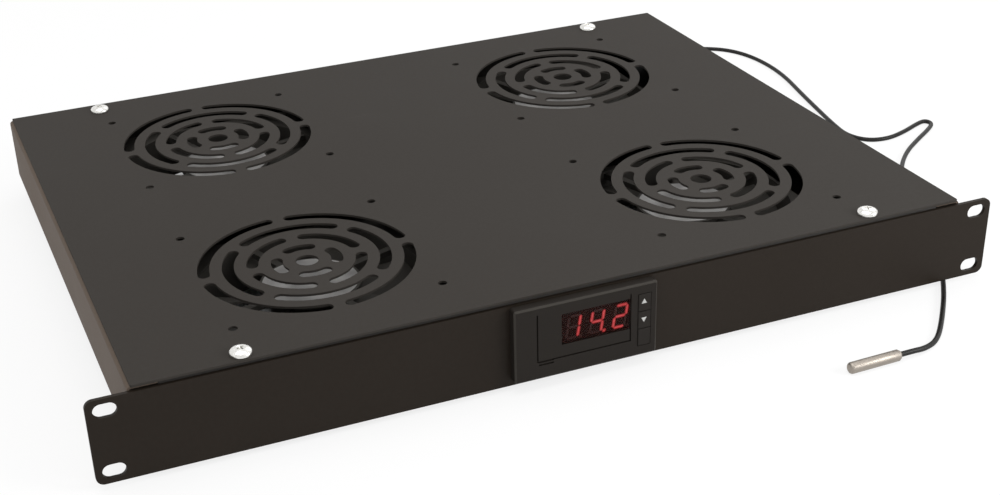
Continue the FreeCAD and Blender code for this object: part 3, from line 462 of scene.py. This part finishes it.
def key_arrow(name, key, upwards):
    """Printed arrow on a key."""
    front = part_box(key)[LOW].y
    middle = middle_of(key)
    arrow = new_piece(name, bpy.ops.mesh.primitive_cylinder_add, vertices=3, radius=ARROW_RADIUS,
                      depth=ARROW_DEPTH, rotation=(math.pi / 2, 0, 0))
    put_in_place(arrow)
    bpy.ops.object.mode_set(mode="EDIT")
    bpy.ops.mesh.select_all(action="SELECT")
    bpy.ops.mesh.bevel(offset=ARROW_ROUNDING, segments=2, affect="EDGES")
    bpy.ops.object.mode_set(mode="OBJECT")
    heights = [vertex.co.z for vertex in arrow.data.vertices]
    points_up = max(heights) + min(heights) > 0
    if points_up != upwards:
        arrow.data.transform(Matrix.Diagonal((1.0, 1.0, -1.0, 1.0)))
    shift_mesh(arrow, Vector((middle.x, front, middle.z)) + ARROW_SHIFT)
    tidy_mesh(arrow)
    return arrow


# ---------------------------------------------------------------- node groups


def group(name, inputs, outputs):
    """An empty shader node group with its sockets."""
    tree = bpy.data.node_groups.new(name, "ShaderNodeTree")
    for socket, kind, value in inputs:
        made = tree.interface.new_socket(socket, in_out="INPUT", socket_type=kind)
        if value is not None:
            made.default_value = value
    for socket, kind in outputs:
        tree.interface.new_socket(socket, in_out="OUTPUT", socket_type=kind)
    return tree, tree.nodes.new("NodeGroupInput"), tree.nodes.new("NodeGroupOutput")


def feed(tree, socket, value):
    """A socket takes a fixed value, or a link from another socket."""
    if isinstance(value, bpy.types.NodeSocket):
        tree.links.new(value, socket)
    else:
        socket.default_value = value


def noise(tree, vector, scale, detail=2.0, roughness=0.5):
    """A noise texture fed by a vector socket."""
    node = tree.nodes.new("ShaderNodeTexNoise")
    node.inputs["Detail"].default_value = detail
    node.inputs["Roughness"].default_value = roughness
    feed(tree, node.inputs["Scale"], scale)
    tree.links.new(vector, node.inputs["Vector"])
    return node.outputs["Fac"]


def spread(tree, value, low, high, to_low=0.0, to_high=1.0):
    """A value stretched from one span to another."""
    node = tree.nodes.new("ShaderNodeMapRange")
    tree.links.new(value, node.inputs["Value"])
    for socket, number in (("From Min", low), ("From Max", high), ("To Min", to_low), ("To Max", to_high)):
        node.inputs[socket].default_value = number
    return node.outputs["Result"]


def maths(tree, operation, first, second=0.0):
    """One arithmetic step on sockets or numbers."""
    node = tree.nodes.new("ShaderNodeMath")
    node.operation = operation
    for socket, value in zip(node.inputs, (first, second)):
        feed(tree, socket, value)
    return node.outputs[0]


def powder_coat_group():
    """Powder coat: fine grains, with slow changes of tone and gloss."""
    tree, source, sink = group(
        "powder_coat", [("Place", "NodeSocketVector", None), ("Grain", "NodeSocketFloat", 1800.0)],
        [("Tone", "NodeSocketFloat"), ("Gloss", "NodeSocketFloat"), ("Height", "NodeSocketFloat")])
    place = source.outputs["Place"]
    grains = noise(tree, place, source.outputs["Grain"], 1.0)
    clouds = noise(tree, place, 7.0, 3.0)
    flecks = noise(tree, place, 420.0, 2.0)
    tree.links.new(maths(tree, "ADD", spread(tree, clouds, 0.3, 0.7, 0.0, 0.7),
                         spread(tree, flecks, 0.35, 0.65, 0.0, 0.3)), sink.inputs["Tone"])
    tree.links.new(maths(tree, "ADD", spread(tree, clouds, 0.35, 0.65, 0.0, 0.6),
                         spread(tree, grains, 0.3, 0.7, 0.0, 0.4)), sink.inputs["Gloss"])
    tree.links.new(grains, sink.inputs["Height"])
    return tree


def handling_marks_group():
    """Fine hairlines and rubbed patches left by handling."""
    tree, source, sink = group(
        "handling_marks", [("Place", "NodeSocketVector", None), ("Amount", "NodeSocketFloat", 0.5)],
        [("Hairlines", "NodeSocketFloat"), ("Rubbed", "NodeSocketFloat")])
    lines = []
    for turn, stretch in ((0.35, 14.0), (1.9, 18.0)):
        mapping = tree.nodes.new("ShaderNodeMapping")
        mapping.inputs["Rotation"].default_value = (0.2, 0.1, turn)
        mapping.inputs["Scale"].default_value = (stretch, 900.0, 900.0)
        tree.links.new(source.outputs["Place"], mapping.inputs["Vector"])
        lines.append(spread(tree, noise(tree, mapping.outputs["Vector"], 1.0, 1.0), 0.74, 0.8))
    patches = noise(tree, source.outputs["Place"], 22.0, 4.0, 0.6)
    both = maths(tree, "MAXIMUM", lines[0], lines[1])
    where = spread(tree, patches, 0.5, 0.7)
    hairlines = maths(tree, "MULTIPLY", maths(tree, "MULTIPLY", both, where), source.outputs["Amount"])
    rubbed = maths(tree, "MULTIPLY", spread(tree, patches, 0.55, 0.8), source.outputs["Amount"])
    tree.links.new(hairlines, sink.inputs["Hairlines"])
    tree.links.new(rubbed, sink.inputs["Rubbed"])
    return tree


def moulded_grain_group():
    """Spark-eroded texture of moulded plastic."""
    tree, source, sink = group(
        "moulded_grain", [("Place", "NodeSocketVector", None), ("Grain", "NodeSocketFloat", 2600.0)],
        [("Tone", "NodeSocketFloat"), ("Height", "NodeSocketFloat")])
    cells = tree.nodes.new("ShaderNodeTexVoronoi")
    cells.feature = "SMOOTH_F1"
    tree.links.new(source.outputs["Grain"], cells.inputs["Scale"])
    tree.links.new(source.outputs["Place"], cells.inputs["Vector"])
    pits = noise(tree, source.outputs["Place"], source.outputs["Grain"], 2.0)
    tree.links.new(maths(tree, "ADD", maths(tree, "MULTIPLY", cells.outputs["Distance"], 0.6),
                         maths(tree, "MULTIPLY", pits, 0.4)), sink.inputs["Height"])
    tree.links.new(noise(tree, source.outputs["Place"], 35.0, 3.0), sink.inputs["Tone"])
    return tree


def drawn_metal_group():
    """Fine lines of drawn or brushed metal along one axis, set by Stretch."""
    tree, source, sink = group(
        "drawn_metal",
        [("Place", "NodeSocketVector", None), ("Stretch", "NodeSocketVector", (40.0, 3000.0, 3000.0))],
        [("Lines", "NodeSocketFloat"), ("Stain", "NodeSocketFloat")])
    product = tree.nodes.new("ShaderNodeVectorMath")
    product.operation = "MULTIPLY"
    tree.links.new(source.outputs["Place"], product.inputs[0])
    tree.links.new(source.outputs["Stretch"], product.inputs[1])
    tree.links.new(noise(tree, product.outputs[0], 1.0, 3.0), sink.inputs["Lines"])
    tree.links.new(noise(tree, source.outputs["Place"], 260.0, 4.0, 0.6), sink.inputs["Stain"])
    return tree


GROUPS = {
    "coat": powder_coat_group(),
    "marks": handling_marks_group(),
    "grain": moulded_grain_group(),
    "drawn": drawn_metal_group(),
}

# ---------------------------------------------------------------- materials


def start_material(name, roughness, metallic=0.0):
    """A material with a Principled shader and object coordinates."""
    material = bpy.data.materials.new(name)
    material.use_nodes = True
    tree = material.node_tree
    shader = tree.nodes["Principled BSDF"]
    shader.inputs["Metallic"].default_value = metallic
    shader.inputs["Roughness"].default_value = roughness
    place = tree.nodes.new("ShaderNodeTexCoord").outputs["Object"]
    return material, tree, shader, place


def use_group(tree, key, place, **values):
    """Place a node group and set its inputs."""
    node = tree.nodes.new("ShaderNodeGroup")
    node.node_tree = GROUPS[key]
    tree.links.new(place, node.inputs["Place"])
    for socket, value in values.items():
        node.inputs[socket].default_value = value
    return node.outputs


MIX_MASK, MIX_FIRST, MIX_SECOND, MIX_RESULT = 0, 6, 7, 2  # colour sockets of a Mix node


def blend(tree, mask, first, second):
    """Colour from the first to the second by a mask; each is a tone or a socket."""
    mix = tree.nodes.new("ShaderNodeMix")
    mix.data_type = "RGBA"
    for index, colour in ((MIX_FIRST, first), (MIX_SECOND, second)):
        feed(tree, mix.inputs[index], (*colour, 1.0) if isinstance(colour, tuple) else colour)
    tree.links.new(mask, mix.inputs[MIX_MASK])
    return mix.outputs[MIX_RESULT]


def bump(tree, shader, height, distance, strength=0.5):
    """Relief from a height value."""
    node = tree.nodes.new("ShaderNodeBump")
    node.inputs["Distance"].default_value = distance
    node.inputs["Strength"].default_value = strength
    tree.links.new(height, node.inputs["Height"])
    tree.links.new(node.outputs["Normal"], shader.inputs["Normal"])


def bevel_highlight_mask(tree):
    """Mask for a painted highlight: 1 where a surface leans between straight forwards and sideways or up."""
    facing = tree.nodes.new("ShaderNodeSeparateXYZ")
    tree.links.new(tree.nodes.new("ShaderNodeTexCoord").outputs["Normal"], facing.inputs["Vector"])
    forwards = maths(tree, "ABSOLUTE", facing.outputs["Y"])
    leaning = maths(tree, "ABSOLUTE", maths(tree, "SUBTRACT", forwards, 0.7))
    return spread(tree, leaning, 0.15, 0.05)


HAIRLINE_GAIN = 1.9  # how much lighter a scratch is than the coat


def painted_sheet(name, dark, light, rough_low, rough_high, sheen):
    """Powder-coated steel; sheen is the strength of its mirror reflection."""
    material, tree, shader, place = start_material(name, rough_high)
    shader.inputs["Specular IOR Level"].default_value = sheen
    coat = use_group(tree, "coat", place)
    wear = use_group(tree, "marks", place, Amount=0.4)
    colour = blend(tree, coat["Tone"], dark, light)
    scratch = tuple(channel * HAIRLINE_GAIN for channel in light)
    tree.links.new(blend(tree, wear["Hairlines"], colour, scratch), shader.inputs["Base Color"])
    gloss = spread(tree, coat["Gloss"], 0.0, 1.0, rough_low, rough_high)
    rubbed = maths(tree, "MULTIPLY", wear["Rubbed"], 0.08)
    tree.links.new(maths(tree, "SUBTRACT", gloss, rubbed), shader.inputs["Roughness"])
    bump(tree, shader, coat["Height"], 0.00004, 0.35)
    return material


def moulded_plastic(name, dark, light, roughness, grain=2600.0, sheen=0.4, painted_bevel_highlight=None):
    """Moulded plastic: sheen is the strength of its mirror reflection; a bevel tone, when given, is a painted
    highlight on its bevels.
    """
    material, tree, shader, place = start_material(name, roughness)
    shader.inputs["Specular IOR Level"].default_value = sheen
    surface = use_group(tree, "grain", place, Grain=grain)
    colour = blend(tree, surface["Tone"], dark, light)
    if painted_bevel_highlight:
        # painted highlight: a lighter colour on the bevels, where they catch the light
        colour = blend(tree, bevel_highlight_mask(tree), colour, painted_bevel_highlight)
    tree.links.new(colour, shader.inputs["Base Color"])
    tree.links.new(spread(tree, surface["Tone"], 0.3, 0.7, roughness - 0.05, roughness + 0.07),
                   shader.inputs["Roughness"])
    bump(tree, shader, surface["Height"], 0.00003, 0.4)
    return material


def bare_metal(name, dark, light, rough_low, rough_high, stretch=(60.0, 2600.0, 2600.0)):
    """Plated or drawn metal with fine lines and a few stains."""
    material, tree, shader, place = start_material(name, rough_high, metallic=1.0)
    metal = use_group(tree, "drawn", place, Stretch=stretch)
    tone = maths(tree, "MULTIPLY", metal["Lines"], spread(tree, metal["Stain"], 0.25, 0.6, 0.6, 1.1))
    tree.links.new(blend(tree, spread(tree, tone, 0.15, 0.7), dark, light), shader.inputs["Base Color"])
    tree.links.new(spread(tree, metal["Stain"], 0.3, 0.7, rough_low, rough_high), shader.inputs["Roughness"])
    bump(tree, shader, metal["Lines"], 0.00002, 0.25)
    return material


def red_window():
    """Dark red display filter, seen through."""
    material, tree, shader, place = start_material("red_filter", 0.18)
    shader.inputs["Specular IOR Level"].default_value = 0.12
    haze = noise(tree, place, 240.0, 3.0)
    tree.links.new(blend(tree, spread(tree, haze, 0.3, 0.7), (0.016, 0.003, 0.002), (0.02, 0.004, 0.003)),
                   shader.inputs["Base Color"])
    shader.inputs["Alpha"].default_value = 0.3
    return material


def glowing_segments(name, dim, bright):
    """Red light from the display's face, uneven from place to place."""
    material, tree, shader, place = start_material(name, 0.4)
    shader.inputs["Base Color"].default_value = (0.1, 0.01, 0.01, 1.0)
    glow = spread(tree, noise(tree, place, 500.0, 1.0), 0.3, 0.7)
    tree.links.new(blend(tree, glow, dim, bright), shader.inputs["Emission Color"])
    shader.inputs["Emission Strength"].default_value = 1.0
    return material


def faint_segments():
    """Unlit segments, a little lighter than the display's face."""
    material, tree, shader, place = start_material("unlit_segments", 0.5)
    tone = noise(tree, place, 600.0, 2.0)
    tree.links.new(blend(tree, tone, (0.045, 0.012, 0.01), (0.06, 0.016, 0.013)), shader.inputs["Base Color"])
    return material


def printed_ink():
    """Pale printed arrows."""
    material, tree, shader, place = start_material("pale_ink", 0.6)
    tone = noise(tree, place, 1500.0, 2.0)
    tree.links.new(blend(tree, tone, (0.42, 0.42, 0.41), (0.52, 0.52, 0.5)), shader.inputs["Base Color"])
    return material


def fan_label():
    """Plain satin sticker."""
    material, tree, shader, place = start_material("satin_sticker", 0.4)
    tone = noise(tree, place, 90.0, 4.0)
    wear = use_group(tree, "marks", place, Amount=0.5)
    colour = blend(tree, spread(tree, tone, 0.3, 0.7), (0.36, 0.35, 0.34), (0.46, 0.45, 0.44))
    tree.links.new(blend(tree, wear["Hairlines"], colour, (0.3, 0.3, 0.3)), shader.inputs["Base Color"])
    bump(tree, shader, tone, 0.0002, 0.2)
    return material


def cable_sheath():
    """Soft PVC sheath with a faint bloom."""
    material, tree, shader, place = start_material("pvc_sheath", 0.42)
    shader.inputs["Specular IOR Level"].default_value = 0.2
    bloom = noise(tree, place, 130.0, 4.0)
    tree.links.new(blend(tree, spread(tree, bloom, 0.3, 0.7), (0.008, 0.0075, 0.007), (0.016, 0.015, 0.014)),
                   shader.inputs["Base Color"])
    tree.links.new(spread(tree, bloom, 0.3, 0.7, 0.34, 0.5), shader.inputs["Roughness"])
    bump(tree, shader, noise(tree, place, 1400.0, 2.0), 0.00004, 0.3)
    return material


def laminated_core():
    """Stacked sheets of a motor core."""
    material, tree, shader, place = start_material("stacked_core", 0.4, metallic=0.9)
    layers = tree.nodes.new("ShaderNodeTexWave")
    layers.bands_direction = "Z"
    layers.inputs["Scale"].default_value = 320.0
    tree.links.new(place, layers.inputs["Vector"])
    tree.links.new(blend(tree, layers.outputs["Fac"], (0.16, 0.15, 0.15), (0.36, 0.35, 0.35)),
                   shader.inputs["Base Color"])
    bump(tree, shader, layers.outputs["Fac"], 0.00005, 0.5)
    return material


def circuit_board():
    """Green board with paler tracks."""
    material, tree, shader, place = start_material("board_green", 0.35)
    tracks = tree.nodes.new("ShaderNodeTexBrick")
    tracks.inputs["Scale"].default_value = 240.0
    tree.links.new(place, tracks.inputs["Vector"])
    tree.links.new(blend(tree, tracks.outputs["Fac"], (0.012, 0.09, 0.035), (0.05, 0.2, 0.09)),
                   shader.inputs["Base Color"])
    bump(tree, shader, tracks.outputs["Fac"], 0.00003, 0.5)
    return material


BLACK_PLASTIC = moulded_plastic("black_plastic", (0.016, 0.016, 0.016), (0.028, 0.028, 0.028), 0.45)
FAN_PLASTIC = moulded_plastic("fan_plastic", (0.046, 0.042, 0.037), (0.058, 0.054, 0.048), 0.6, 1800.0,
                              sheen=0.15)
# the bezel's bevels get a painted highlight, a lighter tone where its edges catch the light
BEZEL_PLASTIC_PAINTED_HIGHLIGHT = moulded_plastic("bezel_plastic", (0.013, 0.0105, 0.0085), (0.0175, 0.0145, 0.012), 0.55,
                                sheen=0.12, painted_bevel_highlight=(0.038, 0.034, 0.029))
KEY_PLASTIC = moulded_plastic("key_plastic", (0.016, 0.0135, 0.0115), (0.021, 0.018, 0.0155), 0.52,
                              sheen=0.1)
ZINC = bare_metal("zinc_plate", (0.4, 0.4, 0.39), (0.72, 0.72, 0.7), 0.22, 0.4, (700.0, 700.0, 700.0))
BRIGHT = bare_metal("bright_nickel", (0.62, 0.61, 0.58), (0.86, 0.85, 0.82), 0.12, 0.26,
                    (900.0, 900.0, 900.0))
STEEL = bare_metal("bearing_steel", (0.35, 0.35, 0.36), (0.62, 0.62, 0.63), 0.18, 0.3)
COVER_COAT = painted_sheet("cover_coat", (0.038, 0.0335, 0.0295), (0.044, 0.04, 0.036), 0.5, 0.58, 0.03)
# front and rear walls: a darker coat than the cover's, painted shade for the gap under the cover's front edge
TRAY_COAT_PAINTED_SHADE = painted_sheet("tray_coat_painted_shade", (0.014, 0.012, 0.0105), (0.02, 0.0175, 0.015), 0.45, 0.55, 0.25)
# side walls: a lighter, browner coat than the cover's, a painted reflection of light grazing the walls
SIDE_COAT_PAINTED_REFLECTION = painted_sheet("side_coat_painted_reflection", (0.11, 0.085, 0.067), (0.126, 0.098, 0.078), 0.5, 0.6, 0.03)
SHEATH = cable_sheath()
BOARD = circuit_board()

FINISHES = {
    "front_panel": painted_sheet("panel_coat", (0.016, 0.0118, 0.0085), (0.021, 0.016, 0.012),
                                 0.42, 0.5, 0.1),
    "top_cover": COVER_COAT,
    "chassis_tray": COVER_COAT, "side_walls": SIDE_COAT_PAINTED_REFLECTION, "front_wall": TRAY_COAT_PAINTED_SHADE, "rear_wall": TRAY_COAT_PAINTED_SHADE,
    "guard_rings": BRIGHT, "guard_arms": BRIGHT,
    "panel_nuts": ZINC, "cover_nuts": ZINC, "fan_nuts": ZINC, "earth_stud": ZINC, "inlet_screws": ZINC,
    "inlet_pins": bare_metal("pin_plate", (0.6, 0.57, 0.5), (0.8, 0.77, 0.7), 0.2, 0.32),
    "thermostat_bezel": BEZEL_PLASTIC_PAINTED_HIGHLIGHT,
    "thermostat_case": BLACK_PLASTIC, "thermostat_clips": BLACK_PLASTIC, "power_inlet": BLACK_PLASTIC,
    "key_switches": BLACK_PLASTIC,
    "up_key": KEY_PLASTIC, "down_key": KEY_PLASTIC, "set_key": KEY_PLASTIC,
    "display_window": red_window(),
    "display_module": moulded_plastic("led_face", (0.018, 0.007, 0.005), (0.021, 0.0085, 0.0065), 0.7,
                                      sheen=0.1),
    "display_board": BOARD, "control_board": BOARD, "fan_boards": BOARD,
    "transformer": moulded_plastic("bobbin_tape", (0.5, 0.34, 0.05), (0.62, 0.44, 0.08), 0.4, 900.0),
    "relay": moulded_plastic("relay_blue", (0.02, 0.07, 0.26), (0.03, 0.1, 0.34), 0.35),
    "terminal_block": moulded_plastic("terminal_green", (0.03, 0.18, 0.08), (0.04, 0.24, 0.1), 0.4),
    "sensor_gland": moulded_plastic("gland_rubber", (0.014, 0.014, 0.014), (0.022, 0.022, 0.022),
                                    0.65, 1500.0),
    "fan_leads": SHEATH, "supply_lead": SHEATH, "sensor_inner_lead": SHEATH,
    "fan_bearings": STEEL, "fan_labels": fan_label(),
}
CORE = laminated_core()
FERRITE = moulded_plastic("ferrite", (0.03, 0.028, 0.027), (0.05, 0.047, 0.045), 0.7, 1200.0)
for number in (1, 2, 3, 4):
    FINISHES[f"fan_frame_{number}"] = FAN_PLASTIC
    FINISHES[f"fan_rotor_{number}"] = FAN_PLASTIC
    FINISHES[f"fan_shaft_{number}"] = STEEL
    FINISHES[f"fan_magnet_{number}"] = FERRITE
    FINISHES[f"fan_stator_{number}"] = CORE


def wear_finish(piece, material):
    """One material all over a piece."""
    piece.data.materials.clear()
    piece.data.materials.append(material)


# ---------------------------------------------------------------- stage

FLOOR_SIZE = 14.0
FLOOR_PLACE = (0, 2.0, 0)
FLOOR_TONE = 0.93
FLOOR_GLOW = 0.8
GLOW_STARTS, GLOW_FULL = 20 * MM, 5 * MM  # this far in from the cover's edge
SKY_LIGHT, SKY_SEEN = 0.6, 1.0  # strength on the tray, and as the background
LAMPS = [  # name, place, what it is aimed at, size, watts
    ("front_right_softbox", (0.85, -0.8, 0.5), (0.2, -0.17, 0.0), (0.5, 0.4), 7.0),
    ("back_right_softbox", (1.5, 1.2, 1.3), (0.2, 0.0, 0.0), (1.6, 1.2), 5.0),
    ("top_softbox", (-0.3, -0.2, 2.2), (0.0, 0.0, 0.0), (2.0, 2.0), 24.0),
]


def seen_rays(tree):
    """Mask: 1 for what the camera sees directly, in a mirror or through glass."""
    rays = tree.nodes.new("ShaderNodeLightPath")
    mirrored = maths(tree, "MAXIMUM", rays.outputs["Is Glossy Ray"], rays.outputs["Is Transmission Ray"])
    return maths(tree, "MAXIMUM", rays.outputs["Is Camera Ray"], mirrored)


def beside_the_tray(tree, place):
    """Mask: 1 on the open floor, 0 under the tray."""
    split = tree.nodes.new("ShaderNodeSeparateXYZ")
    tree.links.new(place, split.inputs["Vector"])
    sides = []
    for axis, reach in (("X", COVER_HIGH.x), ("Y", COVER_HIGH.y)):
        distance = maths(tree, "ABSOLUTE", split.outputs[axis])
        sides.append(spread(tree, distance, reach - GLOW_STARTS, reach - GLOW_FULL))
    return maths(tree, "MAXIMUM", sides[0], sides[1])


def layered(tree, mask, below, above):
    """One shader over another by a mask."""
    mix = tree.nodes.new("ShaderNodeMixShader")
    for socket, source in zip(mix.inputs, (mask, below, above)):
        tree.links.new(source, socket)
    return mix.outputs["Shader"]


def floor_finish():
    """Matt white that glows for the camera beside the tray, and is clear from below."""
    material, tree, shader, place = start_material("floor_white", 0.9)
    shader.inputs["Base Color"].default_value = (FLOOR_TONE, FLOOR_TONE, FLOOR_TONE, 1.0)
    shader.inputs["Specular IOR Level"].default_value = 0.0
    glow = maths(tree, "MULTIPLY", beside_the_tray(tree, place), FLOOR_GLOW)
    seen = maths(tree, "MULTIPLY", seen_rays(tree), glow)
    bright = tree.nodes.new("ShaderNodeEmission").outputs["Emission"]
    clear = tree.nodes.new("ShaderNodeBsdfTransparent").outputs["BSDF"]
    from_below = tree.nodes.new("ShaderNodeNewGeometry").outputs["Backfacing"]
    surface = layered(tree, from_below, layered(tree, seen, shader.outputs["BSDF"], bright), clear)
    tree.links.new(surface, tree.nodes["Material Output"].inputs["Surface"])
    return material


def even_sky():
    """White world, stronger as a background than as a light."""
    world = bpy.data.worlds.new("studio_sky")
    bpy.context.scene.world = world
    world.use_nodes = True
    tree = world.node_tree
    sky = tree.nodes["Background"]
    tree.links.new(spread(tree, seen_rays(tree), 0.0, 1.0, SKY_LIGHT, SKY_SEEN), sky.inputs["Strength"])
    sky.inputs["Color"].default_value = (1.0, 1.0, 1.0, 1.0)


def lamp(name, place, target, size, power):
    """A soft area lamp aimed at a point."""
    data = bpy.data.lights.new(name, "AREA")
    data.shape = "RECTANGLE"
    data.size, data.size_y = size
    data.energy = power
    light = bpy.data.objects.new(name, data)
    bpy.context.scene.collection.objects.link(light)
    light.location = place
    light.rotation_euler = (Vector(target) - Vector(place)).to_track_quat("-Z", "Y").to_euler()


def stage():
    """Pale floor, even sky and soft lamps."""
    floor = new_piece("studio_floor", bpy.ops.mesh.primitive_plane_add, size=FLOOR_SIZE, location=FLOOR_PLACE)
    put_in_place(floor)
    wear_finish(floor, floor_finish())
    even_sky()
    for settings in LAMPS:
        lamp(*settings)
    bpy.context.scene.view_settings.view_transform = "Standard"


# ---------------------------------------------------------------- putting it together

aim_camera()

cable = sensor_cable()
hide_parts("sensor_cable")
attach(cable, "tray")
wear_finish(cable, SHEATH)

sleeve = probe_sleeve()
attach(sleeve, "tray")
wear_finish(sleeve, bare_metal("probe_steel", (0.3, 0.265, 0.23), (0.38, 0.345, 0.305), 0.44, 0.52,
                               (60.0, 2600.0, 2600.0)))

for piece in cover_screws():
    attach(piece, "tray")
    wear_finish(piece, BRIGHT)

screws = guard_screws()
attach(screws, "tray")
wear_finish(screws, ZINC)

reading_finishes = [
    glowing_segments("lit_segments", (0.92, 0.085, 0.09), (1.0, 0.17, 0.18)),
    glowing_segments("red_bleed", (0.36, 0.006, 0.008), (0.5, 0.01, 0.012)),
    faint_segments(),
]
for piece, material in zip(display_reading(), reading_finishes):
    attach(piece, "tray")
    wear_finish(piece, material)

INK = printed_ink()
for key, body, upwards in (("up_key", "up_button", True), ("down_key", "down_button", False)):
    arrow = key_arrow(key + "_arrow", key, upwards)
    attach(arrow, body)
    wear_finish(arrow, INK)

for node, material in FINISHES.items():
    wear_finish(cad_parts[node], material)

stage()
